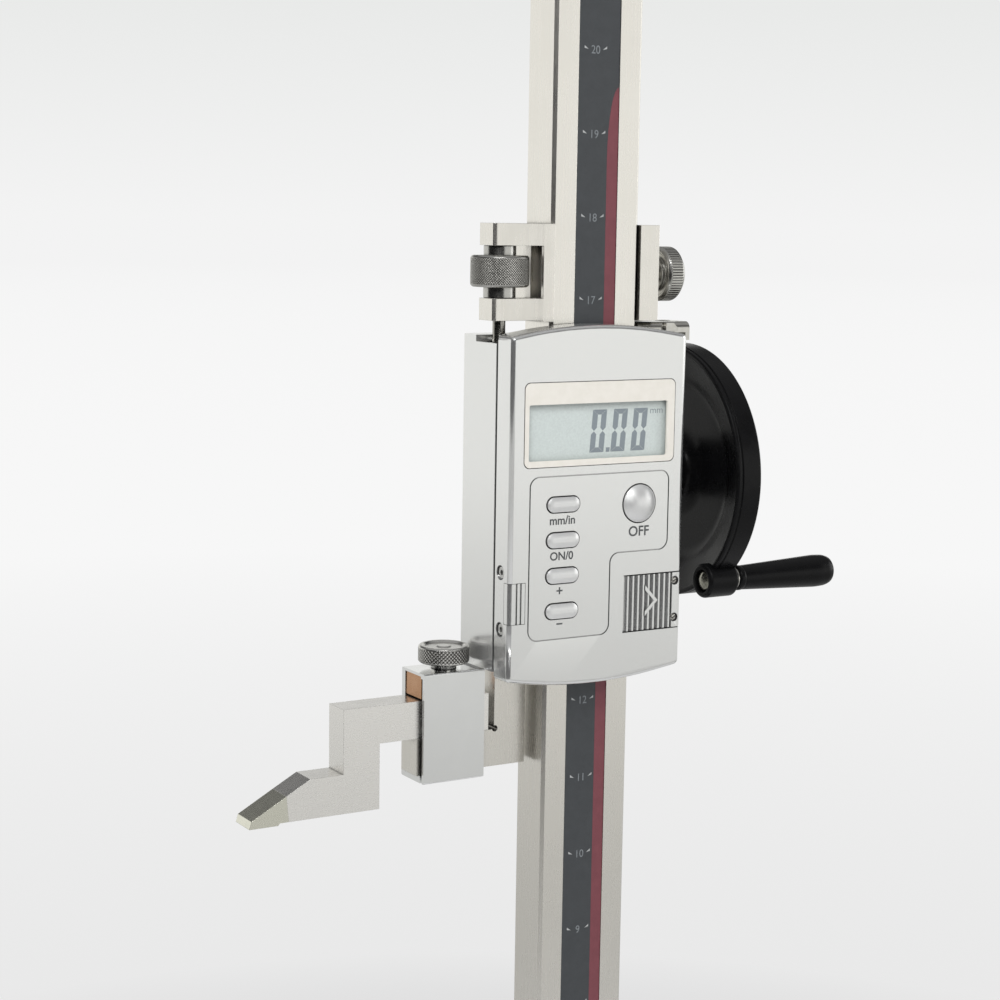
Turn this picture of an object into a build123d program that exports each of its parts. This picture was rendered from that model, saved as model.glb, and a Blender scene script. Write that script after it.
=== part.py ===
"""Digital height gauge: beam on a base, sliding display head, fine-adjustment carriage, scriber, handwheel.

Millimetres.  +Z is up, +X to the right and +Y to the back, seen from the side that carries the scale.
The origin is on the underside of the base, on the centre line of the beam.  Inch mark n of the scale is
at Z = 25.4 n.  The head stands at mid height, with its scriber 275.3 mm above the surface plate.
"""
from build123d import *
import math
import os

os.makedirs("parts", exist_ok=True)

# ---------------------------------------------------------------- driving dimensions
RUN = 0.1  # clearance between pieces that slide on each other
SEAT = 0.05  # radial clearance of a screw or pin in its hole

# beam and what is fixed to it
BEAM_W, BEAM_D = 32.0, 16.0
BEAM_CHAMFER = 1.0
BEAM_FOOT, BEAM_TOP = 10.0, 660.0
SCALE_W, SCALE_T = 15.0, 0.8
SCALE_GROOVE = 1.0
SCALE_Z = (36.0, 652.0)
FRONT = -BEAM_D / 2
BACK = BEAM_D / 2
SIDE = BEAM_W / 2

# rack and pinion
MODULE = 0.8
PINION_TEETH = 16
PINION_R = MODULE * PINION_TEETH / 2
ADDENDUM, DEDENDUM = 0.7, 0.95
BACKLASH = 0.16
PRESSURE = math.radians(20)
SHAFT_Y, SHAFT_Z = 13.0, 374.5
RACK_W, RACK_FLOOR = 8.0, 2.5
RACK_PITCH_LINE = SHAFT_Y - PINION_R
RACK_TEETH = 189
RACK_SCREW_Z = [110.0 + 70.0 * index for index in range(7)]

# base
BASE_X, BASE_Y, BASE_H = (-30.0, 104.0), (-52.0, 52.0), 32.0
BASE_CORNER, BASE_ROUND = 10.0, 3.0
NOTCH_Y = (-9.0, 19.0)
COLUMN_BOLT_X = (-10.0, 10.0)

# display head: a front housing and a rear cover around the slider frame
HEAD_X = (-36.1, 26.9)
HEAD_MID_X = sum(HEAD_X) / 2
HEAD_FRONT, PARTING = -19.0, -9.7
HOUSING_Z = (315.8, 421.4)
HOUSING_APEX_Z = (312.7, 424.7)
HOUSING_WALL = 1.8
SIDE_WALL = 2.0
COVER_Z = (317.6, 421.0)
COVER_BACK = 12.4
BEZEL_X, BEZEL_Z = (-31.5, 23.75), (381.6, 407.6)
WINDOW_X, WINDOW_Z = (-30.0, 21.0), (383.5, 400.9)
PILL_X, PILL_Z = -17.1, (370.0, 358.95, 347.9, 336.85)
PILL_W, PILL_H = 12.4, 5.4
ROUND_X, ROUND_Z, ROUND_R = 11.0, 368.8, 6.35
BUTTON_GAP = 0.2
PANEL_X, PANEL_Z = (-29.1, 22.1), (328.1, 378.8)
PANEL_STEP = (0.5, 353.7)
BATTERY_X, BATTERY_Z = (5.85, 27.0), (327.8, 346.2)
CELL_X, CELL_Z, CELL_R, CELL_T = 16.3, 337.0, 5.8, 5.3
PORT_X, PORT_Z = (-37.0, -30.2), (333.7, 346.6)
SIDE_SCREW_Y, SIDE_SCREW_Z = -13.8, (331.7, 349.4)

# slider frame, with the jaw as its lower end
FRAME_Z = (320.0, 418.6)
LEFT_RAIL = (-29.4, -SIDE - RUN)
RIGHT_RAIL = (16.9, 24.5)
FRAME_BACK = 10.3
JAW_X, JAW_Y = (-29.4, -18.2), (0.0, 10.0)
JAW_Z = (284.7, 296.6)
ARM_END = -57.1

# fine-adjustment carriage
CARRIAGE_Z = (425.3, 455.1)
CARRIAGE_X = (-20.1, 23.2)
LUG_X, LUG_Y = (-36.3, -20.1), (-8.0, 1.0)
UPPER_LUG_Z, LOWER_LUG_Z = (448.4, 455.1), (425.7, 432.4)
FINE_X, FINE_Y, FINE_R = -31.1, -2.3, 2.0
NUT_R, NUT_Z = 9.0, (435.8, 445.4)
LOCK_Y, LOCK_Z = 0.0, 439.7

# scriber and its clamp
SCRIBER_TOP = 308.5
CLAMP_X, CLAMP_Y, CLAMP_Z = (-55.9, -34.4), (-2.4, 12.2), (282.3, 317.1)
CLAMP_CAVITY_Z = (284.6, 316.2)
CLAMP_MID_X = sum(CLAMP_X) / 2
CLAMP_MID_Y = sum(CLAMP_Y) / 2

# handwheel and crank
WHEEL_X, WHEEL_R = (42.2, 51.5), 42.0
HUB_X = (40.3, 51.2)
HUB_BORE = 3.03
CRANK_Y, CRANK_Z = -13.5, 341.0
CRANK_X, CRANK_R = (40.0, 52.3), 5.6
GRIP_X = (53.2, 92.0)
SPINDLE_R = 2.0


# ---------------------------------------------------------------- helpers
def block(x, y, z):
    """Box between the (low, high) limits given along each axis."""
    size = [high - low for low, high in (x, y, z)]
    middle = [(low + high) / 2 for low, high in (x, y, z)]
    return Pos(*middle) * Box(*size)


def rod_x(radius, x, y, z):
    """Cylinder along X between the limits x, about the line through y and z."""
    return Pos(sum(x) / 2, y, z) * Rot(0, 90, 0) * Cylinder(radius, x[1] - x[0])


def rod_y(radius, x, y, z):
    """Cylinder along Y between the limits y, about the line through x and z."""
    return Pos(x, sum(y) / 2, z) * Rot(90, 0, 0) * Cylinder(radius, y[1] - y[0])


def rod_z(radius, x, y, z):
    """Cylinder along Z between the limits z, about the line through x and y."""
    return Pos(x, y, sum(z) / 2) * Cylinder(radius, z[1] - z[0])


def turned_x(outline, y, z):
    """Solid of revolution about an X axis, from (x, radius) points."""
    return Pos(0, y, z) * revolve(make_face(Polyline(*outline, close=True)), Axis.X, 360)


def turned_z(outline, x, y):
    """Solid of revolution about a Z axis, from (radius, z) points."""
    profile = Plane.XZ * make_face(Polyline(*outline, close=True))
    return Pos(x, y, 0) * revolve(profile, Axis.Z, 360)


def slab(face, y):
    """Extrude a face drawn in (X, Z) between the limits y."""
    plane = Plane(origin=(0, y[1], 0), x_dir=(1, 0, 0), z_dir=(0, -1, 0))
    return extrude(plane * face, y[1] - y[0])


def rounded(x, z, radius):
    """Rounded rectangle drawn in (X, Z)."""
    return Pos(sum(x) / 2, sum(z) / 2) * RectangleRounded(x[1] - x[0], z[1] - z[0], radius)


def grown(limits, margin):
    """The same limits, moved apart by a margin at each end."""
    return (limits[0] - margin, limits[1] + margin)


def soften(solid, axis, amount):
    """Chamfer every edge that runs along an axis."""
    return chamfer(solid.edges().filter_by(axis), amount)


def pan_screw(axis_rod, head, shank):
    """Screw of a head and a shank, each given as (radius, limits, first place, second place)."""
    return axis_rod(*head) + axis_rod(*shank)


def save(name, *solids):
    """Write one node; several solids make one group."""
    shape = solids[0] if len(solids) == 1 else Compound(children=list(solids))
    export_step(shape, f"parts/{name}.step")


# ---------------------------------------------------------------- base and beam
def make_base():
    """Cast base: rounded block, notched on the left so that the jaw can reach the surface plate."""
    length, width = BASE_X[1] - BASE_X[0], BASE_Y[1] - BASE_Y[0]
    plan = Pos(sum(BASE_X) / 2, sum(BASE_Y) / 2) * RectangleRounded(length, width, BASE_CORNER)
    body = extrude(plan, BASE_H)
    body = fillet(body.faces().sort_by(Axis.Z)[-1].edges(), BASE_ROUND)
    notch = block((BASE_X[0] - 1, -SIDE - RUN), NOTCH_Y, (-1, BASE_H + 1))
    body -= fillet(notch.edges().filter_by(Axis.Z).sort_by(Axis.X)[-2:], 2)
    body -= block((-SIDE - 1, SIDE + SEAT), grown((FRONT, BACK), SEAT), (BEAM_FOOT, BASE_H + 1))
    for side in (-1, 1):
        grip = rounded((-10, 84), (9, 21), 5.9)
        limits = sorted((side * (BASE_Y[1] - 4), side * (BASE_Y[1] + 1)))
        body -= slab(grip, limits)
    for x in ((28, 58), (63, 93)):
        for y in ((-40, -3), (3, 40)):
            pocket = extrude(rounded(x, y, 5), 20)
            body -= pocket
    for x in COLUMN_BOLT_X:
        body -= rod_z(5.6, x, 0, (-1, 6)) + rod_z(3.2, x, 0, (5, BEAM_FOOT + 1))
    return body


def make_beam():
    """Ground beam with a groove for the scale in front and a groove for the rack behind."""
    body = block((-SIDE, SIDE), (FRONT, BACK), (BEAM_FOOT, BEAM_TOP))
    body = soften(body, Axis.Z, BEAM_CHAMFER)
    half_scale = SCALE_W / 2 + SEAT
    body -= block((-half_scale, half_scale), (FRONT - 1, FRONT + SCALE_GROOVE), SCALE_Z)
    half_rack = RACK_W / 2 + SEAT
    body -= block((-half_rack, half_rack), (RACK_FLOOR, BACK + 1), rack_limits())
    for z in RACK_SCREW_Z:
        body -= rod_y(1.3 + SEAT, 0, (FRONT, RACK_FLOOR + 1), z)
        body -= rod_y(2.5 + SEAT, 0, (FRONT, FRONT + SCALE_GROOVE + 1.6), z)
    for x in COLUMN_BOLT_X:
        body -= rod_z(3 + SEAT, x, 0, (BEAM_FOOT - 1, 27))
        body -= rod_z(1.5 + SEAT, x, 0, (BEAM_TOP - 9, BEAM_TOP + 1))
    return body


def rack_limits():
    """Low and high end of the rack along Z, with a tooth space opposite the pinion's axis."""
    pitch = math.pi * MODULE
    low = SHAFT_Z - pitch * (RACK_TEETH // 2 + 20)
    return (low, low + pitch * RACK_TEETH)


def make_rack():
    """Straight rack of trapezoid teeth that point to the back."""
    pitch = math.pi * MODULE
    low, high = rack_limits()
    tip = RACK_PITCH_LINE + ADDENDUM
    root = RACK_PITCH_LINE - DEDENDUM
    flank = math.tan(PRESSURE)
    half_mid = (pitch / 2 - BACKLASH / 2) / 2
    half_tip = half_mid - ADDENDUM * flank
    half_root = half_mid + DEDENDUM * flank
    points = [(RACK_FLOOR + SEAT, low + SEAT), (root, low + SEAT)]
    for index in range(RACK_TEETH):
        z = low + pitch * (index + 0.5)
        points += [(root, z - half_root), (tip, z - half_tip), (tip, z + half_tip), (root, z + half_root)]
    points += [(root, high - SEAT), (RACK_FLOOR + SEAT, high - SEAT)]
    profile = Plane.YZ * make_face(Polyline(*points, close=True))
    body = Pos(-RACK_W / 2, 0, 0) * extrude(profile, RACK_W)
    for z in RACK_SCREW_Z:
        body -= rod_y(1.3 + SEAT, 0, (RACK_FLOOR - 1, root - 0.4), z)
    return body


def make_rack_screws():
    """Screws that pull the rack into its groove; their heads lie under the scale."""
    head_back = FRONT + SCALE_GROOVE + 1.6
    screws = []
    for z in RACK_SCREW_Z:
        head = rod_y(2.5, 0, (FRONT + SCALE_GROOVE, head_back), z)
        screws.append(head + rod_y(1.3, 0, (head_back, RACK_FLOOR + 2.5), z))
    return screws


def make_column_bolts():
    """Cap screws that hold the beam on the base from below."""
    return [rod_z(5, x, 0, (0.6, 6)) + rod_z(3, x, 0, (6, 25)) for x in COLUMN_BOLT_X]


def make_top_cap():
    """End plate that keeps the carriage and the head on the beam."""
    plate = block((-SIDE - 1.6, SIDE + 1.6), (FRONT - 1.6, BACK + 1.6), (BEAM_TOP, BEAM_TOP + 3.5))
    plate = soften(plate, Axis.Z, 2)
    plate = chamfer(plate.faces().sort_by(Axis.Z)[-1].edges(), 0.6)
    for x in COLUMN_BOLT_X:
        plate -= rod_z(1.5 + SEAT, x, 0, (BEAM_TOP - 1, BEAM_TOP + 5))
        plate -= rod_z(2.9, x, 0, (BEAM_TOP + 1.9, BEAM_TOP + 5))
    return plate


def make_top_cap_screws():
    """Two small cap screws in the end plate."""
    head_z = (BEAM_TOP + 1.9, BEAM_TOP + 3.4)
    return [rod_z(2.8, x, 0, head_z) + rod_z(1.5, x, 0, (BEAM_TOP - 8, head_z[0])) for x in COLUMN_BOLT_X]


# ---------------------------------------------------------------- slider frame
def make_slider_frame():
    """Steel frame: two rails joined behind the beam, with the jaw and its arm below the left rail."""
    body = block(LEFT_RAIL, (FRONT, FRAME_BACK), FRAME_Z)
    body += block(RIGHT_RAIL, (FRONT, FRAME_BACK), FRAME_Z)
    body += block((LEFT_RAIL[0], RIGHT_RAIL[1]), (BACK + RUN, FRAME_BACK), FRAME_Z)
    body += block(JAW_X, JAW_Y, (JAW_Z[0], FRAME_Z[0] + 1))
    arm = block((ARM_END, JAW_X[1]), JAW_Y, JAW_Z)
    body += arm
    body -= rod_y(1.0, JAW_X[0] + 0.3, grown(JAW_Y, 1), JAW_Z[1] + 0.2)
    body += block((-33.6, LEFT_RAIL[0]), (FINE_Y - 4.5, FINE_Y + 4.5), (396, 406))
    body -= rod_z(FINE_R + 0.6, FINE_X, FINE_Y, (406, FRAME_Z[1] + 1))
    body -= rod_z(FINE_R + SEAT, FINE_X, FINE_Y, (393, 407))
    body -= block((-12.8, RIGHT_RAIL[1] + 1), (BACK + RUN / 2, FRAME_BACK + 1), (364.2, 384.8))
    for z in GIB_SCREW_Z:
        body -= rod_x(1.5 + SEAT, grown(RIGHT_RAIL, 1), 0, z)
    for x, z in keeper_screw_places():
        body -= rod_y(1.25 + SEAT, x, (FRONT - 1, FRONT + 7), z)
    for x, z in cover_screw_places():
        body -= rod_y(1.0 + SEAT, x, (BACK - 4, FRAME_BACK + 1), z)
    for x, z in housing_screw_places():
        body -= rod_y(1.5 + SEAT, x, (BACK - 4, FRAME_BACK + 1), z)
    body -= rod_z(1.5 + SEAT, GUARD_SCREW[0], GUARD_SCREW[1], (410, FRAME_Z[1] + 1))
    return body


GIB_SCREW_Z = (328.0, 368.0, 408.0)
GUARD_SCREW = (21.0, 0.0)


def keeper_screw_places():
    """(X, Z) of the screws that hold the keeper plate on the rails."""
    return [(x, z) for x in (-22.7, 20.7) for z in (324.0, 413.0)]


def cover_screw_places():
    """(X, Z) of the rear cover's screws."""
    return [(x, z) for x in (-23.0, 20.7) for z in (327.0, 410.0)]


def housing_screw_places():
    """(X, Z) of the pinion housing's screws."""
    return [(x, z) for x in (-20.7, 20.7) for z in (360.2, 388.8)]


def make_keeper_plate():
    """Plate across the front of the rails, with a window for the sensor and two tabs for the housing."""
    body = block((-33.9, 24.5), (-9.6, FRONT - RUN), (319.8, 418.0))
    body -= block((-8.6, 8.6), (-10, -8), (335, 405))
    for z in SIDE_SCREW_Z:
        tab = block((-33.9, -32.4), (-16.4, -9.6), (z - 2.0, z + 2.0))
        body += tab
        body -= rod_x(1.0 + SEAT, (-35, -31), SIDE_SCREW_Y, z)
    for x, z in keeper_screw_places():
        body -= rod_y(1.25 + SEAT, x, (-10, -7), z)
    body -= rod_z(FINE_R + 0.8, FINE_X, FINE_Y, (319, 419))
    return body


def make_keeper_screws():
    """Pan head screws that hold the keeper plate."""
    return [rod_y(2.3, x, (-11.2, -9.6), z) + rod_y(1.25, x, (-9.6, FRONT + 6), z)
            for x, z in keeper_screw_places()]


def make_gib_screws():
    """Set screws that press the gib on the beam."""
    return [rod_x(1.5, (RIGHT_RAIL[0] - 0.1, RIGHT_RAIL[1] - 0.2), 0, z)
            - rod_x(0.75, (RIGHT_RAIL[1] - 1.6, RIGHT_RAIL[1]), 0, z) for z in GIB_SCREW_Z]


def make_rear_cover():
    """Painted shell around the sides and back of the slider frame."""
    body = block(HEAD_X, (PARTING + 0.2, COVER_BACK), COVER_Z)
    body = fillet(body.edges().filter_by(Axis.Z).sort_by(Axis.Y)[-2:], 3)
    inner_x = (HEAD_X[0] + SIDE_WALL, HEAD_X[1] - SIDE_WALL)
    inner_z = (COVER_Z[0] + 2, COVER_Z[1] - 2)
    body -= block(inner_x, (PARTING - 1, COVER_BACK - SIDE_WALL), inner_z)
    body -= block(grown((-SIDE, SIDE), 0.5), (PARTING - 1, BACK + 0.6), grown(COVER_Z, 1))
    body -= block(grown(JAW_X, 0.4), grown(JAW_Y, 0.4), (COVER_Z[0] - 1, inner_z[0] + 1))
    body -= block((HEAD_X[0] - 1, -SIDE), (PARTING - 1, 2.9), (inner_z[1], COVER_Z[1] + 1))
    body -= block((SIDE, HEAD_X[1] + 1), (PARTING - 1, BACK + 0.5), (inner_z[1], COVER_Z[1] + 1))
    body -= block((-24.6, HEAD_X[1] + 1), (BACK + RUN, COVER_BACK + 1), (355.6, 393.4))
    for z in GIB_SCREW_Z:
        body -= rod_x(1.7, grown(HEAD_X, 1), 0, z) & block((20, 30), (-5, 5), grown(COVER_Z, 0))
    for x, z in cover_screw_places():
        body -= rod_y(1.0 + SEAT, x, (8, COVER_BACK + 1), z) + rod_y(2.1, x, (11.6, COVER_BACK + 1), z)
    return body


def make_cover_screws():
    """Small screws in the back of the rear cover."""
    return [rod_y(2.0, x, (11.6, COVER_BACK + 0.1), z) + rod_y(1.0, x, (BACK - 3, 11.6), z)
            for x, z in cover_screw_places()]


def make_guard_bar():
    """Bar on top of the right rail that reaches over the handwheel, with its end turned down."""
    body = block((17.0, 37.9), (FRONT, 8.0), (419.0, 422.6))
    body += block((36.4, 37.9), (FRONT, 0.0), (416.3, 419.5))
    body = fillet(body.faces().sort_by(Axis.Z)[-1].edges(), 1.2)
    body -= rod_z(1.5 + SEAT, GUARD_SCREW[0], GUARD_SCREW[1], (418, 424))
    body -= rod_z(1.5 + SEAT, 32.4, GUARD_SCREW[1], (418, 424))
    return body


def make_guard_screws():
    """Screw that holds the guard bar on the rail, and the locking screw near its end."""
    return [rod_z(2.1, GUARD_SCREW[0], 0, (422.65, 424.0)) + rod_z(1.5, GUARD_SCREW[0], 0, (411, 422.65)),
            rod_z(2.1, 32.4, 0, (422.65, 424.6)) + rod_z(1.5, 32.4, 0, (418.4, 422.65))]


# ---------------------------------------------------------------- front housing and display
def housing_form():
    """Outer form of the front housing: straight sides, arched top and bottom, rounded front edge."""
    low, high = HOUSING_Z
    left, right = HEAD_X
    outline = Line((left, low), (left, high))
    outline += ThreePointArc((left, high), (HEAD_MID_X, HOUSING_APEX_Z[1]), (right, high))
    outline += Line((right, high), (right, low))
    outline += ThreePointArc((right, low), (HEAD_MID_X, HOUSING_APEX_Z[0]), (left, low))
    face = fillet(make_face(outline).vertices(), 1.6)
    body = slab(face, (HEAD_FRONT, PARTING))
    return fillet(body.faces().sort_by(Axis.Y)[0].edges(), 1.5)


def panel_line():
    """Thin moulded line round the buttons: a stepped outline with round corners."""
    points = [(PANEL_X[0], PANEL_Z[0]), (PANEL_STEP[0], PANEL_Z[0]), (PANEL_STEP[0], PANEL_STEP[1]),
              (PANEL_X[1], PANEL_STEP[1]), (PANEL_X[1], PANEL_Z[1]), (PANEL_X[0], PANEL_Z[1])]
    panel = fillet(make_face(Polyline(*points, close=True)).vertices(), 3.2)
    ring = offset(panel, 0.22, kind=Kind.ARC) - offset(panel, -0.22, kind=Kind.ARC)
    return slab(ring, (HEAD_FRONT - 1, HEAD_FRONT + 0.35))


def make_front_housing():
    """Front shell with its openings for the display, the buttons, the battery and the socket."""
    wall_back = HEAD_FRONT + HOUSING_WALL
    body = housing_form()
    inner_x = (HEAD_X[0] + SIDE_WALL, HEAD_X[1] - SIDE_WALL)
    body -= block(inner_x, (wall_back, PARTING + 1), (319, 418.4))
    body -= slab(rounded(grown(BEZEL_X, 0.1), grown(BEZEL_Z, 0.1), 2), (HEAD_FRONT - 1, HEAD_FRONT + 0.7))
    body -= block(grown(WINDOW_X, 0.6), (HEAD_FRONT - 1, wall_back + 1), grown(WINDOW_Z, 0.6))
    for z in PILL_Z:
        body -= slab(Pos(PILL_X, z) * SlotOverall(PILL_W, PILL_H), (HEAD_FRONT - 1, wall_back + 1))
    body -= rod_y(ROUND_R, ROUND_X, (HEAD_FRONT - 1, wall_back + 1), ROUND_Z)
    body -= panel_line()
    body -= block(BATTERY_X, (HEAD_FRONT - 1, -16.6), BATTERY_Z)
    body -= block((24.8, 28), (HEAD_FRONT - 1, -11.45), BATTERY_Z)
    body += block((8, 24.6), (-16.6, -10.6), (329.5, 344.5))
    body += block((8, 24.6), (-17.4, -16.6), (326.0, BATTERY_Z[0]))
    body += block((8, 24.6), (-16.6, -10.6), (327.0, 329.5))
    body -= rod_y(CELL_R + 0.15, CELL_X, (-18, -11.1), CELL_Z)
    body -= block(PORT_X, (HEAD_FRONT - 1, -17.3), PORT_Z)
    body -= block((-37, -34.4), (HEAD_FRONT - 1, -16.0), PORT_Z)
    body -= block((-34.4, -31), (-17.4, -13), (336.2, 344.1))
    for z in SIDE_SCREW_Z:
        body -= rod_x(2.3, (-37, -34.8), SIDE_SCREW_Y, z) + rod_x(1.0 + SEAT, (-37, -33), SIDE_SCREW_Y, z)
    return body


def make_side_screws():
    """Two screws that join the housing to the tabs of the keeper plate."""
    screws = []
    for z in SIDE_SCREW_Z:
        screw = rod_x(1.8, (-35.6, -34.8), SIDE_SCREW_Y, z) + rod_x(1.0, (-34.8, -31.8), SIDE_SCREW_Y, z)
        screws.append(screw - rod_x(0.8, (-35.7, -35.1), SIDE_SCREW_Y, z))
    return screws


def make_bezel():
    """Frame round the display window."""
    body = slab(rounded(BEZEL_X, BEZEL_Z, 1.9), (HEAD_FRONT - 0.1, HEAD_FRONT + 0.65))
    return body - slab(rounded(WINDOW_X, WINDOW_Z, 0.6), (HEAD_FRONT - 1, HEAD_FRONT + 1))


def cover_ribs(centres, z, depth):
    """Upright grooves between the finger ribs of a cover."""
    grooves = [block((x - 0.4, x + 0.4), (HEAD_FRONT - 1, HEAD_FRONT + depth), z) for x in centres]
    return Compound(children=grooves)


def make_battery_cover():
    """Ribbed cover that wraps round the right edge of the housing, with a chevron that shows its way."""
    gap = 0.15
    body = housing_form() & block((BATTERY_X[0] + gap, 28), (-20, -11.6), grown(BATTERY_Z, -gap))
    body -= block((0, 24.95), (HEAD_FRONT + 2, -10), grown(BATTERY_Z, 1))
    for index in range(10):
        x = BATTERY_X[0] + 2.1 + 1.65 * index
        body -= block((x - 0.4, x + 0.4), (-20, HEAD_FRONT + 0.45), grown(BATTERY_Z, 1))
    chevron = make_face(Polyline((14.3, 332.0), (18.6, 337.0), (14.3, 342.0), close=True))
    body += slab(chevron, (HEAD_FRONT, HEAD_FRONT + 0.6))
    inner = make_face(Polyline((15.0, 334.0), (17.6, 337.0), (15.0, 340.0), close=True))
    body -= slab(inner, (HEAD_FRONT - 1, HEAD_FRONT + 0.3))
    for z in BATTERY_SCREW_Z:
        body -= rod_y(1.25, BATTERY_SCREW_X, (-20, HEAD_FRONT + 0.9), z)
        body -= rod_y(0.7 + SEAT, BATTERY_SCREW_X, (-20, HEAD_FRONT + 3), z)
    return body


BATTERY_SCREW_X, BATTERY_SCREW_Z = 23.2, (330.9, 343.2)


def make_battery_screws():
    """Screws that hold the spring contact under the battery cover."""
    return [rod_y(1.2, BATTERY_SCREW_X, (HEAD_FRONT + 0.35, HEAD_FRONT + 0.9), z)
            + rod_y(0.7, BATTERY_SCREW_X, (HEAD_FRONT + 0.9, HEAD_FRONT + 2.25), z) for z in BATTERY_SCREW_Z]


def make_battery_contact():
    """Strip of spring steel that touches the cell."""
    y = (HEAD_FRONT + 2.02, HEAD_FRONT + 2.3)
    body = block((22, 24.4), y, (329.6, 344.4)) + block((11, 22), y, (334.5, 339.5))
    for z in BATTERY_SCREW_Z:
        body -= rod_y(0.7 + SEAT, BATTERY_SCREW_X, (-18, -15), z)
    return body


def make_port_cover():
    """Ribbed cover of the data socket, wrapped round the left edge of the housing."""
    gap = 0.15
    body = housing_form() & block((-37, PORT_X[1] - gap), (-20, -16.15), grown(PORT_Z, -gap))
    body -= block((-34.55, -30), (HEAD_FRONT + 1.5, -15), grown(PORT_Z, 1))
    for x in (-33.4, -31.9):
        body -= block((x - 0.35, x + 0.35), (-20, HEAD_FRONT + 0.4), grown(PORT_Z, 1))
    return body


def make_pill_button(z):
    """Pill-shaped button with a flange behind the wall of the housing."""
    cap = slab(Pos(PILL_X, z) * SlotOverall(PILL_W - 2 * BUTTON_GAP, PILL_H - 2 * BUTTON_GAP),
               (HEAD_FRONT - 0.7, -16.3))
    cap = fillet(cap.faces().sort_by(Axis.Y)[0].edges(), 1.1)
    return cap + slab(Pos(PILL_X, z) * SlotOverall(PILL_W + 1.2, PILL_H + 1.2), (-17.1, -16.3))


def make_round_button():
    """Domed round button with a flange behind the wall of the housing."""
    radius = ROUND_R - BUTTON_GAP
    dome = Line((0, 0), (0, 3.6))
    dome += ThreePointArc((0, 3.6), (radius * 0.55, 3.3), (radius, 2.2))
    dome += Line((radius, 2.2), (radius, 0))
    dome += Line((radius, 0), (0, 0))
    cap = revolve(make_face(dome), Axis.Y, 360)
    cap = Pos(ROUND_X, -16.3, ROUND_Z) * Rot(0, 0, 180) * cap
    return cap + rod_y(ROUND_R + 0.6, ROUND_X, (-17.1, -16.3), ROUND_Z)


def make_circuit_board():
    """Stepped board that carries the display and the key contacts."""
    body = block((-31.0, 24.4), (-14.6, -13.4), (347.4, 418.0))
    return body + block((-31.0, 6.4), (-14.6, -13.4), (321, 348))


def make_keypad_mat():
    """Rubber mat between the buttons and the board."""
    body = block((-26, 19.5), (-15.3, -14.6), (360, 377))
    return body + block((-26, -8.3), (-15.3, -14.6), (331.5, 361))


def make_data_socket():
    """Four-way socket behind the port cover."""
    body = block((-32.1, -27.2), (-16.9, -14.6), (336.4, 343.9))
    for index in range(4):
        z = 337.9 + 1.5 * index
        body -= block((-33, -30.2), (-16.2, -15.4), (z - 0.35, z + 0.35))
    return body


# ---------------------------------------------------------------- rack drive
def involute(angle):
    """Involute of a pressure angle."""
    return math.tan(angle) - angle


def make_pinion_shaft():
    """Shaft with its pinion cut in the middle and a seat for the handwheel at the right end."""
    base_r = PINION_R * math.cos(PRESSURE)
    root_r = PINION_R - DEDENDUM
    tip_r = PINION_R + ADDENDUM
    half_pitch = (math.pi * MODULE / 2 - BACKLASH / 2) / 2 / PINION_R
    half_base = half_pitch + involute(PRESSURE)
    half_tip = half_base - involute(math.acos(base_r / tip_r))
    points = []
    for index in range(PINION_TEETH):
        middle = 2 * math.pi * index / PINION_TEETH
        flank = [(root_r, half_base - 0.02), (base_r, half_base), (PINION_R, half_pitch), (tip_r, half_tip)]
        side = [(radius, -half) for radius, half in flank] + [(radius, half) for radius, half in flank[::-1]]
        points += [(radius * math.cos(middle + half), radius * math.sin(middle + half)) for radius, half in side]
    gear = Plane.YZ * make_face(Polyline(*points, close=True))
    gear = Pos(-3.25, SHAFT_Y, SHAFT_Z) * Rot(180, 0, 0) * extrude(gear, 6.5)
    body = gear + rod_x(3.0, (-10.5, 49.8), SHAFT_Y, SHAFT_Z)
    body -= rod_x(1.9 + SEAT, (43, 50), SHAFT_Y, SHAFT_Z)
    return body


BUSH_X = ((-10.6, -3.4), (3.4, 10.6), (30.6, 37.8))
BUSH_R = 4.2


def make_bushes():
    """Bronze bushes of the pinion shaft."""
    return [rod_x(BUSH_R - 0.02, x, SHAFT_Y, SHAFT_Z) - rod_x(3.05, grown(x, 1), SHAFT_Y, SHAFT_Z)
            for x in BUSH_X]


def make_pinion_housing():
    """Bearing block behind the slider frame, with a flange round it and a chamber for the pinion."""
    body = block((-12.5, 38.0), (BACK + 0.2, 22.4), (365, 384))
    body = fillet(body.edges().filter_by(Axis.X).sort_by(Axis.Y)[-2:], 4)
    body += slab(rounded((-24.2, 24.2), (356, 393), 3), (FRAME_BACK + SEAT, 12.9))
    body -= rod_x(BUSH_R, (-10.8, 12), SHAFT_Y, SHAFT_Z) + rod_x(BUSH_R, (29, 39), SHAFT_Y, SHAFT_Z)
    body -= rod_x(3.4, (-11, 38), SHAFT_Y, SHAFT_Z)
    body -= block((-4.6, 4.6), (BACK, 20.7), (SHAFT_Z - 7.6, SHAFT_Z + 7.6))
    for x, z in housing_screw_places():
        body -= rod_y(1.5 + SEAT, x, (8, 15), z)
    return body


def make_housing_screws():
    """Cap screws of the pinion housing."""
    return [rod_y(2.7, x, (12.9, 15.4), z) + rod_y(1.5, x, (BACK - 3, 12.9), z)
            - rod_y(1.2, x, (14.0, 16), z) for x, z in housing_screw_places()]


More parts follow.
